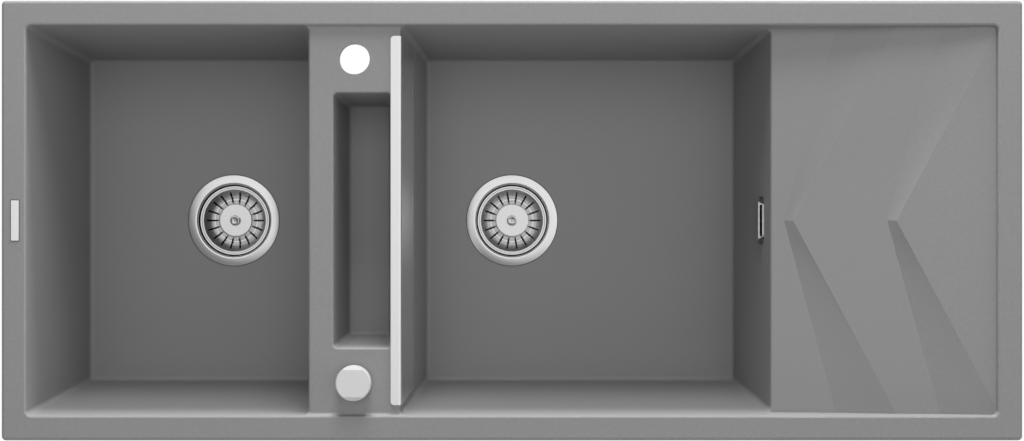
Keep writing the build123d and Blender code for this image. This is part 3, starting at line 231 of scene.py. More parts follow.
def make_brushing():
    """Fine grinding lines: round an upright axis where Turned is 1, and along Y where it is 0."""
    tree, start, end = new_group(
        "brushing",
        [("Centre X", 0.0), ("Centre Y", 0.0), ("Turned", 1.0), ("Line Width", 0.0004)],
        [("Mask", "NodeSocketFloat")],
    )
    place = add(tree, "ShaderNodeTexCoord")
    axes = add(tree, "ShaderNodeSeparateXYZ")
    tree.links.new(place.outputs["Object"], axes.inputs[0])
    x = math_node(tree, "SUBTRACT", axes.outputs["X"], start.outputs["Centre X"])
    y = math_node(tree, "SUBTRACT", axes.outputs["Y"], start.outputs["Centre Y"])
    squares = math_node(tree, "MULTIPLY_ADD", x, x, math_node(tree, "MULTIPLY", y, y))
    radius = math_node(tree, "SQRT", squares)
    turn = math_node(tree, "MULTIPLY", math_node(tree, "ARCTAN2", y, x), 0.0015)
    across = add(tree, "ShaderNodeMix", data_type="FLOAT")
    along = add(tree, "ShaderNodeMix", data_type="FLOAT")
    slow_y = math_node(tree, "MULTIPLY", y, 0.02)
    for node, straight, turned in ((across, x, radius), (along, slow_y, turn)):
        feed(tree, start.outputs["Turned"], node.inputs["Factor"])
        feed(tree, straight, node.inputs["A"])
        feed(tree, turned, node.inputs["B"])
    noise = add(tree, "ShaderNodeTexNoise", Detail=2.0, Roughness=0.7)
    spot = combine(tree, across.outputs[0], along.outputs[0], axes.outputs["Z"])
    tree.links.new(spot, noise.inputs["Vector"])
    scale = math_node(tree, "DIVIDE", 1.0, start.outputs["Line Width"])
    tree.links.new(scale, noise.inputs["Scale"])
    tree.links.new(noise.outputs["Fac"], end.inputs["Mask"])
    return tree


GRAIN = make_grain()
BRUSHING = make_brushing()


def place_group(tree, group, **values):
    """Places a shader group and sets its inputs."""
    node = add(tree, "ShaderNodeGroup", node_tree=group)
    for label, value in values.items():
        node.inputs[label.replace("_", " ")].default_value = value
    return node


def new_finish(name, metallic=0.0, roughness=0.5):
    """Material with its Principled shader; returns the material, its tree and the shader."""
    material = bpy.data.materials.new(name)
    material.use_nodes = True
    tree = material.node_tree
    shader = tree.nodes["Principled BSDF"]
    shader.inputs["Metallic"].default_value = metallic
    shader.inputs["Roughness"].default_value = roughness
    return material, tree, shader


def blend(tree, mask, dark, light):
    """Colour that runs from dark to light with a mask."""
    mix = add(tree, "ShaderNodeMix", data_type="RGBA")
    tree.links.new(mask, mix.inputs["Factor"])
    # A mix of colours has its two colours on inputs 6 and 7 and its result on output 2
    feed(tree, dark, mix.inputs[6])
    feed(tree, light, mix.inputs[7])
    return mix.outputs[2]


def span(tree, value, low, high, to_low=0.0, to_high=1.0, **settings):
    """A value's place between two others, as a number that stops at both ends."""
    node = add(
        tree,
        "ShaderNodeMapRange",
        From_Min=low,
        From_Max=high,
        To_Min=to_low,
        To_Max=to_high,
        **settings,
    )
    tree.links.new(value, node.inputs["Value"])
    return node.outputs["Result"]


def relief(tree, height, depth, shader, strength=0.5, normal=None):
    """Bumps of a height mask, on top of the surface's own direction or a given one."""
    bump = add(tree, "ShaderNodeBump", Distance=depth, Strength=strength)
    tree.links.new(height, bump.inputs["Height"])
    if normal:
        tree.links.new(normal, bump.inputs["Normal"])
    tree.links.new(bump.outputs["Normal"], shader.inputs["Normal"])


def object_axes(tree):
    """The three coordinates of the point that is shaded."""
    axes = add(tree, "ShaderNodeSeparateXYZ")
    tree.links.new(add(tree, "ShaderNodeTexCoord").outputs["Object"], axes.inputs[0])
    return axes.outputs


def from_axis(tree, axes, centre):
    """Distance from an upright axis."""
    x = math_node(tree, "SUBTRACT", axes["X"], centre[0])
    y = math_node(tree, "SUBTRACT", axes["Y"], centre[1])
    squares = math_node(tree, "MULTIPLY_ADD", x, x, math_node(tree, "MULTIPLY", y, y))
    return math_node(tree, "SQRT", squares)


def grained(name, dark, light, fleck, contrast, depth, metallic=0.0, roughness=0.5):
    """Finish whose colour runs between two greys over the grain, with the grain's own relief."""
    material, tree, shader = new_finish(name, metallic, roughness)
    grain = place_group(tree, GRAIN, Fleck_Size=fleck, Contrast=contrast)
    colour = blend(tree, grain.outputs["Mask"], grey(dark), grey(light))
    tree.links.new(colour, shader.inputs["Base Color"])
    relief(tree, grain.outputs["Height"], depth, shader)
    return material


def ground_lines(tree, centre, turned, dark, light):
    """Mask of the grinding lines and the colour they give."""
    lines = place_group(
        tree,
        BRUSHING,
        Centre_X=centre[0],
        Centre_Y=centre[1],
        Turned=turned,
        Line_Width=LINE_WIDTH,
    )
    mask = lines.outputs["Mask"]
    return mask, blend(tree, mask, grey(dark), grey(light))


def ground_steel(name, centre=None, metallic=1.0, roughness=0.3, dark=210, light=236):
    """Stainless steel with grinding lines round a centre, or along Y where there is none."""
    material, tree, shader = new_finish(name, metallic, roughness)
    turned = 1.0 if centre else 0.0
    mask, colour = ground_lines(tree, centre or (0.0, 0.0), turned, dark, light)
    tree.links.new(colour, shader.inputs["Base Color"])
    relief(tree, mask, LINE_DEPTH, shader)
    return material


def cover_steel(name):
    """Steel of the overflow cover, painted lighter than the other steel as the light on its top,
    and painted dark in front as the bowl's shade.
    """
    material, tree, shader = new_finish(name, 0.5, 0.3)
    # Painted highlight: the cover's steel is lighter than the other steel, standing in for the
    # light on its top edges
    mask, bright = ground_lines(tree, (0.0, 0.0), 0.0, 244, 255)
    # Painted shade: below these heights the cover's front is painted dark grey
    above = span(tree, object_axes(tree)["Z"], *COVER_SHADE)
    tree.links.new(blend(tree, above, grey(120), bright), shader.inputs["Base Color"])
    relief(tree, mask, LINE_DEPTH, shader)
    return material


def cup_steel(name, centre):
    """Steel of a strainer cup, painted dark inside as the shade where the basket keeps the light
    out.
    """
    material, tree, shader = new_finish(name, 1.0, 0.26)
    mask, bright = ground_lines(tree, centre, 1.0, 214, 240)
    axes = object_axes(tree)
    # Painted shade: below these heights the cup's steel is painted dark grey
    above = span(tree, axes["Z"], *CUP_SHADE)
    tree.links.new(blend(tree, above, grey(62), bright), shader.inputs["Base Color"])
    past_lip = math_node(tree, "SUBTRACT", from_axis(tree, axes, centre), LIP_R)
    past_lip = math_node(tree, "MAXIMUM", past_lip, 0.0)
    square = math_node(tree, "MULTIPLY", past_lip, past_lip)
    dome = math_node(tree, "MULTIPLY", square, -FLANGE_DOME)
    height = math_node(tree, "MULTIPLY_ADD", mask, LINE_DEPTH / 2, dome)
    relief(tree, height, 1.0, shader, 1.0)
    return material


def from_plate(tree, axes):
    """Distance from the edge of the rim's blank plate, negative on it."""
    past = []
    for way, middle, half in zip("XY", (PLATE_X, 0.0), PLATE_HALF):
        off = math_node(tree, "ABSOLUTE", math_node(tree, "SUBTRACT", axes[way], middle))
        past.append(math_node(tree, "SUBTRACT", off, half))
    return math_node(tree, "MAXIMUM", *past)


def steeper_ramps(tree, axes):
    """Surface direction with the drainer's shallow ramps leant over further, to read from above."""
    facing = add(tree, "ShaderNodeNewGeometry").outputs["Normal"]
    parts = add(tree, "ShaderNodeSeparateXYZ")
    tree.links.new(facing, parts.inputs[0])
    right = span(tree, axes["X"], *DRAINER_START)
    upward = span(tree, parts.outputs["Z"], *RAMP_UPRIGHT)
    where = math_node(tree, "MULTIPLY", right, upward)
    lean = math_node(tree, "MULTIPLY_ADD", where, RAMP_LEAN, 1.0)
    x = math_node(tree, "MULTIPLY", parts.outputs["X"], lean)
    y = math_node(tree, "MULTIPLY", parts.outputs["Y"], lean)
    unit = add(tree, "ShaderNodeVectorMath", operation="NORMALIZE")
    tree.links.new(combine(tree, x, y, parts.outputs["Z"]), unit.inputs[0])
    return unit.outputs[0]


def composite_stone():
    """Granite look, coarser on the deck, with painted contact shade round the plate and the
    strainers.
    """
    material, tree, shader = new_finish("composite_stone", roughness=0.5)
    axes = object_axes(tree)
    grain = place_group(tree, GRAIN, Fleck_Size=0.0013)
    contrast = span(tree, axes["Z"], *GRAIN_RISE, *GRAIN_CONTRAST)
    tree.links.new(contrast, grain.inputs["Contrast"])
    stone = blend(tree, grain.outputs["Mask"], grey(122), grey(136))
    edges = [from_plate(tree, axes)]
    for centre in (LEFT_DRAIN, RIGHT_DRAIN):
        edges.append(math_node(tree, "SUBTRACT", from_axis(tree, axes, centre), FLANGE_R))
    # Painted shade: a thin dark line in the stone's colour where it meets the plate and the
    # strainers' flanges, standing in for their contact shadow
    contact_shades = 1.0
    for from_edge in edges:
        contact_shade = span(tree, math_node(tree, "ABSOLUTE", from_edge), *CONTACT_SHADE, CONTACT_SHADE_LEVEL)
        contact_shades = math_node(tree, "MULTIPLY", contact_shade, contact_shades)
    shade = add(tree, "ShaderNodeVectorMath", operation="SCALE")
    tree.links.new(stone, shade.inputs[0])
    tree.links.new(contact_shades, shade.inputs["Scale"])
    tree.links.new(shade.outputs[0], shader.inputs["Base Color"])
    relief(tree, grain.outputs["Height"], 0.00005, shader, normal=steeper_ramps(tree, axes))
    return material


COMPOSITE = composite_stone()
LEFT_STEEL = ground_steel("left_strainer_steel", LEFT_DRAIN, roughness=0.24, dark=204, light=228)
RIGHT_STEEL = ground_steel("right_strainer_steel", RIGHT_DRAIN, roughness=0.24, dark=204, light=228)
PLATE_STEEL = ground_steel("rim_plate_steel", roughness=0.25, dark=238, light=252)
LEFT_CUP_STEEL = cup_steel("left_cup_steel", LEFT_DRAIN)
RIGHT_CUP_STEEL = cup_steel("right_cup_steel", RIGHT_DRAIN)
KNOB_STEEL = ground_steel("knob_steel", KNOB, 0.65, 0.6, 222, 230)
SHEET_STEEL = ground_steel("sheet_steel", dark=222, light=242)
COVER_STEEL = cover_steel("cover_steel")
BRASS = grained("plated_brass", 205, 218, 0.0012, 0.3, 0.00001, metallic=1.0, roughness=0.22)
RUBBER = grained("black_rubber", 50, 60, 0.0006, 0.6, 0.00003, roughness=0.7)
GREY_PLASTIC = grained("grey_plastic", 105, 115, 0.0006, 0.5, 0.00002, roughness=0.45)
SHEATH = grained("cable_sheath", 70, 80, 0.0008, 0.4, 0.00002, roughness=0.4)
WHITE_PLASTIC = grained("white_plastic", 224, 232, 0.0006, 0.4, 0.00002, roughness=0.4)

FINISHES = {
    COMPOSITE: ("sink_body",),
    LEFT_STEEL: ("left_basket", "left_basket_knob", "left_centre_screw"),
    RIGHT_STEEL: ("right_basket", "right_basket_knob", "right_centre_sleeve", "lift_pin"),
    LEFT_CUP_STEEL: ("left_strainer_cup",),
    RIGHT_CUP_STEEL: ("right_strainer_cup",),
    KNOB_STEEL: ("control_knob",),
    SHEET_STEEL: ("steel_guard", "hose_clips"),
    COVER_STEEL: ("overflow_cover", "overflow_screw"),
    PLATE_STEEL: ("rim_plate",),
    BRASS: ("control_nut", "control_bush", "control_spindle"),
    RUBBER: (
        "guard_tape",
        "overflow_gasket",
        "pipe_seals",
        "trap_seal",
        "control_washer",
        "left_cup_seal",
        "left_floor_gasket",
        "left_plug_seal",
        "right_cup_seal",
        "right_floor_gasket",
        "right_plug_seal",
    ),
    GREY_PLASTIC: (
        "control_cable",
        "cable_box",
        "drum_box",
        "overflow_box",
        "left_waste_body",
        "right_waste_body",
        "left_basket_stem",
        "right_basket_stem",
    ),
    WHITE_PLASTIC: (
        "overflow_hose",
        "left_pipe",
        "right_pipe",
        "waste_tee",
        "appliance_nozzle",
        "appliance_nut",
        "pipe_nuts",
        "trap_head",
        "trap_cup",
        "outlet_pipe",
    ),
}

for finish, names in FINISHES.items():
    for name in names:
        nodes[name].data.materials.clear()
        nodes[name].data.materials.append(finish)


# ---- Geometry Nodes: what repeats or follows a path ----


def new_tree(name, inputs):
    """Geometry tree with named inputs; returns the tree and its two end nodes."""
    tree = bpy.data.node_groups.new(name, "GeometryNodeTree")
    tree.interface.new_socket("Geometry", in_out="INPUT", socket_type="NodeSocketGeometry")
    for label, kind, value in inputs:
        socket = tree.interface.new_socket(label, in_out="INPUT", socket_type="NodeSocket" + kind)
        if value is not None:
            socket.default_value = value
    tree.interface.new_socket("Geometry", in_out="OUTPUT", socket_type="NodeSocketGeometry")
    return tree, tree.nodes.new("NodeGroupInput"), tree.nodes.new("NodeGroupOutput")


def finish_tree(tree, start, end, geometry):
    """Ends a tree: real copies instead of instances, in the finish that the tree is given."""
    real = add(tree, "GeometryNodeRealizeInstances")
    paint = add(tree, "GeometryNodeSetMaterial")
    tree.links.new(geometry, real.inputs["Geometry"])
    tree.links.new(real.outputs[0], paint.inputs["Geometry"])
    tree.links.new(start.outputs["Finish"], paint.inputs["Material"])
    tree.links.new(paint.outputs[0], end.inputs[0])
    return tree


def swept(tree, curve, profile):
    """Mesh of a profile along a curve, as thick at each point as the curve's radius says."""
    node = add(tree, "GeometryNodeCurveToMesh")
    node.inputs["Fill Caps"].default_value = True
    tree.links.new(curve, node.inputs["Curve"])
    tree.links.new(profile, node.inputs["Profile Curve"])
    thickness = add(tree, "GeometryNodeInputRadius")
    tree.links.new(thickness.outputs[0], node.inputs["Scale"])
    return node.outputs[0]


def make_hose_tree():
    """Ribbed hose along the edges that it is given."""
    tree, start, end = new_tree(
        "ribbed_hose",
        [
            ("Radius", "Float", 0.01),
            ("Rib", "Float", 0.0008),
            ("Pitch", "Float", 0.003),
            ("Sides", "Int", 32),
            ("Finish", "Material", None),
        ],
    )
    curve = add(tree, "GeometryNodeMeshToCurve")
    tree.links.new(start.outputs["Geometry"], curve.inputs["Mesh"])
    fine = add(tree, "GeometryNodeResampleCurve", mode="LENGTH")
    tree.links.new(curve.outputs[0], fine.inputs["Curve"])
    step = math_node(tree, "DIVIDE", start.outputs["Pitch"], 6.0)
    tree.links.new(step, fine.inputs["Length"])
    way = add(tree, "GeometryNodeSplineParameter")
    turns = math_node(tree, "DIVIDE", way.outputs["Length"], start.outputs["Pitch"])
    wave = math_node(tree, "COSINE", math_node(tree, "MULTIPLY", turns, tau))
    thick = add(tree, "GeometryNodeSetCurveRadius")
    tree.links.new(fine.outputs[0], thick.inputs["Curve"])
    radius = math_node(
        tree, "MULTIPLY_ADD", wave, start.outputs["Rib"], start.outputs["Radius"]
    )
    tree.links.new(radius, thick.inputs["Radius"])
    circle = add(tree, "GeometryNodeCurvePrimitiveCircle", Radius=1.0)
    tree.links.new(start.outputs["Sides"], circle.inputs["Resolution"])
    return finish_tree(tree, start, end, swept(tree, thick.outputs[0], circle.outputs["Curve"]))


def make_rib_tree():
    """Grip ribs set round an axis at the origin, from z = 0 to their length."""
    tree, start, end = new_tree(
        "grip_ribs",
        [
            ("Count", "Int", 24),
            ("Radius", "Float", 0.03),
            ("Rib Radius", "Float", 0.001),
            ("Rib Length", "Float", 0.01),
            ("Finish", "Material", None),
        ],
    )
    points = add(tree, "GeometryNodeMeshCircle")
    tree.links.new(start.outputs["Count"], points.inputs["Vertices"])
    tree.links.new(start.outputs["Radius"], points.inputs["Radius"])
    rib = add(tree, "GeometryNodeMeshCylinder", Vertices=8)
    tree.links.new(start.outputs["Rib Radius"], rib.inputs["Radius"])
    tree.links.new(start.outputs["Rib Length"], rib.inputs["Depth"])
    lift = add(tree, "GeometryNodeTransform")
    tree.links.new(rib.outputs["Mesh"], lift.inputs["Geometry"])
    half = math_node(tree, "MULTIPLY", start.outputs["Rib Length"], 0.5)
    tree.links.new(combine(tree, 0.0, 0.0, half), lift.inputs["Translation"])
    copies = add(tree, "GeometryNodeInstanceOnPoints")
    tree.links.new(points.outputs["Mesh"], copies.inputs["Points"])
    tree.links.new(lift.outputs[0], copies.inputs["Instance"])
    return finish_tree(tree, start, end, copies.outputs[0])


def make_thread_tree():
    """Screw thread round an axis at the origin, from z = 0 to its height."""
    tree, start, end = new_tree(
        "screw_thread",
        [
            ("Radius", "Float", 0.02),
            ("Crest", "Float", 0.0008),
            ("Turns", "Float", 5.0),
            ("Height", "Float", 0.01),
            ("Finish", "Material", None),
        ],
    )
    spiral = add(tree, "GeometryNodeCurveSpiral", Resolution=48)
    tree.links.new(start.outputs["Turns"], spiral.inputs["Rotations"])
    tree.links.new(start.outputs["Height"], spiral.inputs["Height"])
    for label in ("Start Radius", "End Radius"):
        tree.links.new(start.outputs["Radius"], spiral.inputs[label])
    ridge = add(tree, "GeometryNodeCurvePrimitiveCircle", Resolution=4)
    tree.links.new(start.outputs["Crest"], ridge.inputs["Radius"])
    wire = add(tree, "GeometryNodeCurveToMesh")
    wire.inputs["Fill Caps"].default_value = True
    tree.links.new(spiral.outputs[0], wire.inputs["Curve"])
    tree.links.new(ridge.outputs["Curve"], wire.inputs["Profile Curve"])
    return finish_tree(tree, start, end, wire.outputs[0])


HOSE = make_hose_tree()
RIBS = make_rib_tree()
THREAD = make_thread_tree()


def grown(tree, vertices=(), edges=(), **values):
    """Plain mesh that a geometry tree makes from a base of vertices and edges."""
    base = bpy.data.meshes.new("base")
    base.from_pydata(vertices, edges, [])
    carrier = bpy.data.objects.new("carrier", base)
    bpy.context.scene.collection.objects.link(carrier)
    modifier = carrier.modifiers.new("nodes", "NODES")
    modifier.node_group = tree
    for item in tree.interface.items_tree:
        label = item.name.replace(" ", "_")
        if item.in_out == "INPUT" and label in values:
            modifier[item.identifier] = values[label]
    depsgraph = bpy.context.evaluated_depsgraph_get()
    mesh = bpy.data.meshes.new_from_object(carrier.evaluated_get(depsgraph))
    carrier.modifiers.remove(modifier)
    bpy.data.objects.remove(carrier)
    return mesh


def turned_mesh(profile, finish, segments=48):
    """Round mesh about Z, from a closed counter-clockwise run of (radius, height) corners."""
    vertices = []
    rows = []
    for radius, height in profile:
        count = segments if radius > 0 else 1
        rows.append([len(vertices) + step for step in range(count)])
        for step in range(count):
            angle = tau * step / segments
            vertices.append((radius * cos(angle), radius * sin(angle), height))
    faces = []
    for low, high in zip(rows, rows[1:] + rows[:1]):
        if len(low) == 1 and len(high) == 1:
            continue
        for step in range(segments):
            after = (step + 1) % segments
            corners = [
                low[step % len(low)],
                low[after % len(low)],
                high[after % len(high)],
                high[step % len(high)],
            ]
            # A row on the axis is one point, which a face names once
            faces.append(list(dict.fromkeys(corners)))
    mesh = bpy.data.meshes.new("turned")
    mesh.from_pydata(vertices, [], faces)
    mesh.materials.append(finish)
    return mesh


def place(mesh, origin, axis=(0, 0, 1)):
    """Stands a mesh made round Z on a point, with Z along an axis."""
    turn = Vector((0, 0, 1)).rotation_difference(Vector(axis)).to_matrix().to_4x4()
    turn.translation = Vector(origin)
    mesh.transform(turn)
    return mesh


def piece(name, meshes, body, replaced=(), smooth_below=40.0):
    """One finished object from its meshes, on its body."""
    built = []
    for mesh in meshes:
        part = bpy.data.objects.new("part", mesh)
        bpy.context.scene.collection.objects.link(part)
        built.append(part)
    item = built[0]
    if len(built) > 1:
        with bpy.context.temp_override(active_object=item, selected_editable_objects=built):
            bpy.ops.object.join()
    item.name = name
    item.data.name = name
    item.data.shade_smooth()
    item.data.set_sharp_from_angle(angle=smooth_below * pi / 180)
    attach(item, body)
    if replaced:
        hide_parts(*replaced)
    return item


def bent_way(corners, radii, steps=10):
    """Points of a path whose corners are rounded."""
    corners = [Vector(corner) for corner in corners]
    way = [corners[0]]
    for before, corner, after, radius in zip(corners, corners[1:], corners[2:], radii):
        arrive = (corner - before).normalized()
        leave = (after - corner).normalized()
        turn = arrive.angle(leave)
        setback = radius * sin(turn / 2) / cos(turn / 2)
        centre = corner + (leave - arrive).normalized() * (radius / cos(turn / 2))
        first = corner - arrive * setback - centre
        last = corner + leave * setback - centre
        for step in range(steps + 1):
            way.append(centre + first.slerp(last, step / steps).normalized() * radius)
    way.append(corners[-1])
    return way


def run_along(tree, way, **values):
    """Mesh that a geometry tree makes along a path."""
    edges = [(index, index + 1) for index in range(len(way) - 1)]
    return grown(tree, [tuple(point) for point in way], edges, **values)


def shift_up(distance):
    """Move along Z, for a mesh that isn't placed yet."""
    return Matrix.Translation((0, 0, distance))


# ---- Pieces ----


def overflow_hose():
    """Ribbed hose with plain cuffs at its ends, where the clips grip it."""
    low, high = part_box("overflow_hose")
    down = high.x - HOSE_R
    way = bent_way([(down, 0, high.z), (down, 0, PIPE_Z), (low.x, 0, PIPE_Z)], [HOSE_BEND])
    start, end = way[0], way[-1]
    ribbed = [start - Vector((0, 0, HOSE_CUFF))] + way[1:-1] + [end + Vector((HOSE_CUFF, 0, 0))]
    body = run_along(
        HOSE, ribbed, Radius=HOSE_R - 0.0009, Rib=0.0008, Pitch=0.0036, Finish=WHITE_PLASTIC
    )
    ring = [
        (HOSE_R - CUFF_WALL, 0),
        (HOSE_R, 0),
        (HOSE_R, HOSE_CUFF + CUFF_OVER),
        (HOSE_R - CUFF_WALL, HOSE_CUFF + CUFF_OVER),
    ]
    cuffs = [
        place(turned_mesh(ring, WHITE_PLASTIC), start, (0, 0, -1)),
        place(turned_mesh(ring, WHITE_PLASTIC), end, (1, 0, 0)),
    ]
    piece("overflow_hose_ribbed", [body] + cuffs, "sink", ["overflow_hose"])


def sheathed_cable():
    """Cable in a smooth sheath, with a ferrule where it enters each box."""
    start, end = Vector(CABLE_CORNERS[0]), Vector(CABLE_CORNERS[-1])
    way = bent_way(CABLE_CORNERS, CABLE_BENDS, steps=16)
    body = run_along(
        HOSE, way, Radius=SHEATH_R - 0.0001, Rib=0.00006, Pitch=0.006, Sides=16, Finish=SHEATH
    )
    ferrule = [
        (SHEATH_R, 0.004),
        (SHEATH_R, 0.006),
        (SHEATH_R + 0.0012, 0.0062),
        (SHEATH_R + 0.0009, 0.013),
        (SHEATH_R, 0.014),
        (SHEATH_R - 0.0008, 0.014),
        (SHEATH_R - 0.0008, 0.004),
    ]
    ends = [
        place(turned_mesh(ferrule, SHEATH, 32), start, Vector(CABLE_CORNERS[1]) - start),
        place(turned_mesh(ferrule, SHEATH, 32), end, Vector(CABLE_CORNERS[-2]) - end),
    ]
    piece("sheathed_cable", [body] + ends, "sink", ["control_cable"])


def pipe_nuts():
    """Six compression nuts with grip ribs."""
    profile = [
        (SOCKET_R + NUT_PLAY, -NUT_GRIP),
        (NUT_R - NUT_EDGE, -NUT_GRIP),
        (NUT_R, NUT_EDGE - NUT_GRIP),
        (NUT_R, NUT_WALL),
        (NUT_R - 0.0022, 2 * NUT_WALL),
        (PIPE_R + NUT_MOUTH_PLAY, 2 * NUT_WALL),
        (PIPE_R + NUT_MOUTH_PLAY, NUT_WALL),
        (SOCKET_R + NUT_PLAY, NUT_WALL),
    ]
    meshes = []
    for mouth, axis in PIPE_JOINTS:
        meshes.append(place(turned_mesh(profile, WHITE_PLASTIC), mouth, axis))
        teeth = grown(
            RIBS,
            Count=NUT_RIBS,
            Radius=NUT_R,
            Rib_Radius=0.0012,
            Rib_Length=NUT_GRIP + NUT_WALL - NUT_EDGE,
            Finish=WHITE_PLASTIC,
        )
        teeth.transform(shift_up(NUT_EDGE - NUT_GRIP))
        meshes.append(place(teeth, mouth, axis))
    piece("ribbed_nuts", meshes, "sink", ["pipe_nuts"])


def socket_threads():
    """Threads on the sockets, where the nuts leave them bare."""
    bare = SOCKET_LENGTH - NUT_GRIP
    coils = {GREY_PLASTIC: [], WHITE_PLASTIC: []}
    for mouth, axis in PIPE_JOINTS:
        finish = GREY_PLASTIC if (mouth, axis) in POT_JOINTS else WHITE_PLASTIC
        coil = grown(
            THREAD, Radius=SOCKET_R, Crest=0.0009, Turns=3.0, Height=bare - 0.002, Finish=finish
        )
        coil.transform(shift_up(0.001 - SOCKET_LENGTH))
        coils[finish].append(place(coil, mouth, axis))
    piece("pot_threads", coils[GREY_PLASTIC], "sink")
    piece("socket_threads", coils[WHITE_PLASTIC], "sink")


def socket_roots():
    """Wall of the two pots' sockets, back to the sloping foot of the pot."""
    near, far = ROOT_FROM_AXIS
    inner = SOCKET_R - SOCKET_WALL
    ring = [(inner, near), (SOCKET_R, near), (SOCKET_R, far), (inner, far)]
    roots = [
        place(turned_mesh(ring, GREY_PLASTIC), (*centre, PIPE_Z), axis)
        for centre, axis in ((LEFT_DRAIN, (1, 0, 0)), (RIGHT_DRAIN, (-1, 0, 0)))
    ]
    piece("socket_roots", roots, "sink")


def bush_thread():
    """Thread on the control bush, up to its nut."""
    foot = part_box("control_bush")[0].z
    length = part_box("control_nut")[0].z - foot
    turns = round(length / THREAD_PITCH)
    coil = grown(THREAD, Radius=0.0171, Crest=0.0006, Turns=turns, Height=length, Finish=BRASS)
    piece("bush_thread", [place(coil, (*KNOB, foot))], "sink")


def trap_grips():
    """Ribs by which the trap's cup is unscrewed."""
    low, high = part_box("trap_cup")
    teeth = grown(
        RIBS,
        Count=20,
        Radius=(high.x - low.x) / 2 - 0.0004,
        Rib_Radius=0.0014,
        Rib_Length=0.022,
        Finish=WHITE_PLASTIC,
    )
    foot = (DECK_X, 0, high.z - 0.026)
    piece("trap_grips", [place(teeth, foot)], "sink")


def finger_knobs():
    """Turned grips of the baskets, dished on top."""
    sides = (("left", LEFT_DRAIN, LEFT_STEEL), ("right", RIGHT_DRAIN, RIGHT_STEEL))
    for side, centre, finish in sides:
        low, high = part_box(side + "_basket_knob")
        foot = (high.x - low.x) / 2
        tall = high.z - low.z
        profile = [
            (0, 0),
            (foot, 0),
            (foot, 0.0007),
            (foot - 0.0016, 0.0014),
            (foot - 0.0019, 0.0022),
            (foot - 0.0012, tall - 0.0018),
            (foot - 0.0010, tall - 0.0010),
            (foot - 0.0014, tall - 0.0002),
            (foot - 0.0021, tall),
            (foot - 0.0030, tall - 0.0006),
            (0.0016, tall - 0.0011),
            (0.0008, tall - 0.0006),
            (0, tall - 0.0005),
        ]
        knob = place(turned_mesh(profile, finish), (*centre, low.z))
        replaced = [side + "_basket_knob"]
        piece(side + "_finger_knob", [knob], side + "_strainer", replaced, 30.0)


overflow_hose()
sheathed_cable()
pipe_nuts()
socket_threads()
socket_roots()
bush_thread()
trap_grips()
finger_knobs()


# ---- Floor, light and camera ----

FLOOR_REACH = 6.0
# Share of plain white in what the camera and reflections see of the floor
FLOOR_WHITE = 0.85

# Soft light of the room as lobes: the way each comes from, how narrow it is and its strength
GLOWS = (
    ((0, 0, 1), 5.0, 1.4),
    ((1, 0, 0.15), 10.0, 3.0),
    ((-1, 0, 0.15), 10.0, 0.7),
    ((0, -1, 0.15), 10.0, 2.72),
)
ROOM_LIGHT = 0.01

# Reflections see white from above and behind, and grey from low in front: the way, and the range
# of the angle's cosine over which the grey turns white
SHINE_WAY = (0.35, 0.55, 0.75)
SHINE_RANGE = (0.38, 0.7)
SHINE_LEVELS = (0.2, 1.0)

# Lamps behind the sink: name, degrees above the worktop, distance, width, height, power
LAMPS = (
    ("key", 22.5, 2.6, 0.8, 0.4, 22),
    ("low_back", 15.0, 2.6, 1.1, 0.34, 30),
    ("edge_back", 9.0, 2.6, 1.1, 0.27, 16),
    ("skim", 3.0, 2.6, 1.1, 0.2, 95),
    ("top", 75.0, 3.0, 2.0, 2.0, 16),
)


def make_floor():
    """White floor: it shows the shadow, and throws little light up on the sink's outer edges."""
    mesh = bpy.data.meshes.new("floor")
    ways = ((-1, -1), (1, -1), (1, 1), (-1, 1))
    corners = [(x * FLOOR_REACH, y * FLOOR_REACH, FLOOR_Z) for x, y in ways]
    mesh.from_pydata(corners, [], [(0, 1, 2, 3)])
    floor = bpy.data.objects.new("floor", mesh)
    bpy.context.scene.collection.objects.link(floor)
    material, tree, shader = new_finish("pale_floor", roughness=0.8)
    path = add(tree, "ShaderNodeLightPath")
    colour = blend(tree, path.outputs["Is Diffuse Ray"], grey(240), grey(150))
    tree.links.new(colour, shader.inputs["Base Color"])
    white = add(tree, "ShaderNodeEmission", Strength=1.0)
    mix = add(tree, "ShaderNodeMixShader")
    seen = math_node(tree, "MAXIMUM", path.outputs["Is Camera Ray"], path.outputs["Is Glossy Ray"])
    seen = math_node(tree, "MAXIMUM", seen, path.outputs["Is Transmission Ray"])
    tree.links.new(math_node(tree, "MULTIPLY", seen, FLOOR_WHITE), mix.inputs["Fac"])
    tree.links.new(shader.outputs[0], mix.inputs[1])
    tree.links.new(white.outputs[0], mix.inputs[2])
    tree.links.new(mix.outputs[0], tree.nodes["Material Output"].inputs["Surface"])
    mesh.materials.append(material)


def lobe(tree, direction, axis, power, strength):
    """Light from round one way, fading to the sides."""
    dot = add(tree, "ShaderNodeVectorMath", operation="DOT_PRODUCT")
    tree.links.new(direction, dot.inputs[0])
    dot.inputs[1].default_value = Vector(axis).normalized()
    cosine = math_node(tree, "MAXIMUM", dot.outputs["Value"], 0.0)
    return math_node(tree, "MULTIPLY", math_node(tree, "POWER", cosine, power), strength)


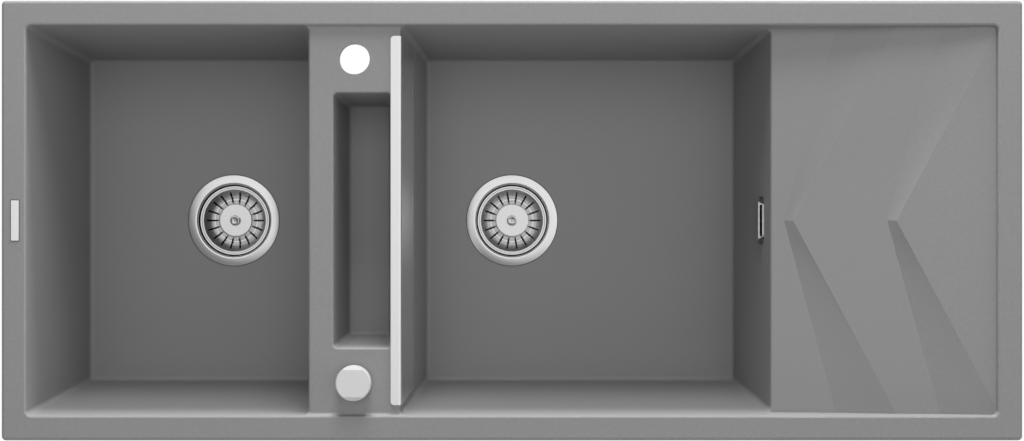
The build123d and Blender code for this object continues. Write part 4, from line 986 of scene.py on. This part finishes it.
def make_world():
    """White for the camera and for reflections, and the room's soft light for everything else."""
    world = bpy.data.worlds.new("studio")
    bpy.context.scene.world = world
    world.use_nodes = True
    tree = world.node_tree
    background = tree.nodes["Background"]
    background.inputs["Color"].default_value = (1, 1, 1, 1)
    direction = add(tree, "ShaderNodeTexCoord").outputs["Generated"]
    level = ROOM_LIGHT
    for axis, power, strength in GLOWS:
        level = math_node(tree, "ADD", level, lobe(tree, direction, axis, power, strength))
    path = add(tree, "ShaderNodeLightPath")
    straight = path.outputs["Is Camera Ray"], path.outputs["Is Transmission Ray"]
    plain = math_node(tree, "MAXIMUM", *straight)
    facing = lobe(tree, direction, SHINE_WAY, 1.0, 1.0)
    shine = span(
        tree, facing, *SHINE_RANGE, *SHINE_LEVELS, interpolation_type="SMOOTHSTEP"
    )
    glossy = path.outputs["Is Glossy Ray"]
    seen = math_node(tree, "MULTIPLY_ADD", glossy, shine, plain)
    others = math_node(tree, "SUBTRACT", math_node(tree, "SUBTRACT", 1.0, plain), glossy)
    strength = math_node(tree, "MULTIPLY_ADD", others, level, seen)
    tree.links.new(strength, background.inputs["Strength"])


def add_light(name, elevation, distance, width, height, power):
    """Area lamp behind the sink, aimed at its middle and left out of what the steel mirrors."""
    lamp = bpy.data.lights.new(name, "AREA")
    lamp.shape = "RECTANGLE"
    lamp.size = width
    lamp.size_y = height
    lamp.energy = power
    light = bpy.data.objects.new(name, lamp)
    away = Vector((0, cos(elevation * pi / 180), sin(elevation * pi / 180)))
    light.location = away * distance
    light.rotation_mode = "QUATERNION"
    light.rotation_quaternion = (-away).to_track_quat("-Z", "Y")
    light.visible_glossy = False
    bpy.context.scene.collection.objects.link(light)


def make_camera():
    """Camera straight above the middle of the sink."""
    lens = bpy.data.cameras.new("camera")
    lens.lens = CAMERA_LENS
    lens.sensor_width = 36.0
    camera = bpy.data.objects.new("camera", lens)
    camera.location = (0, 0, CAMERA_HEIGHT)
    bpy.context.scene.collection.objects.link(camera)
    bpy.context.scene.camera = camera


make_floor()
make_world()
for lamp_values in LAMPS:
    add_light(*lamp_values)
make_camera()
bpy.context.scene.view_settings.view_transform = "Standard"
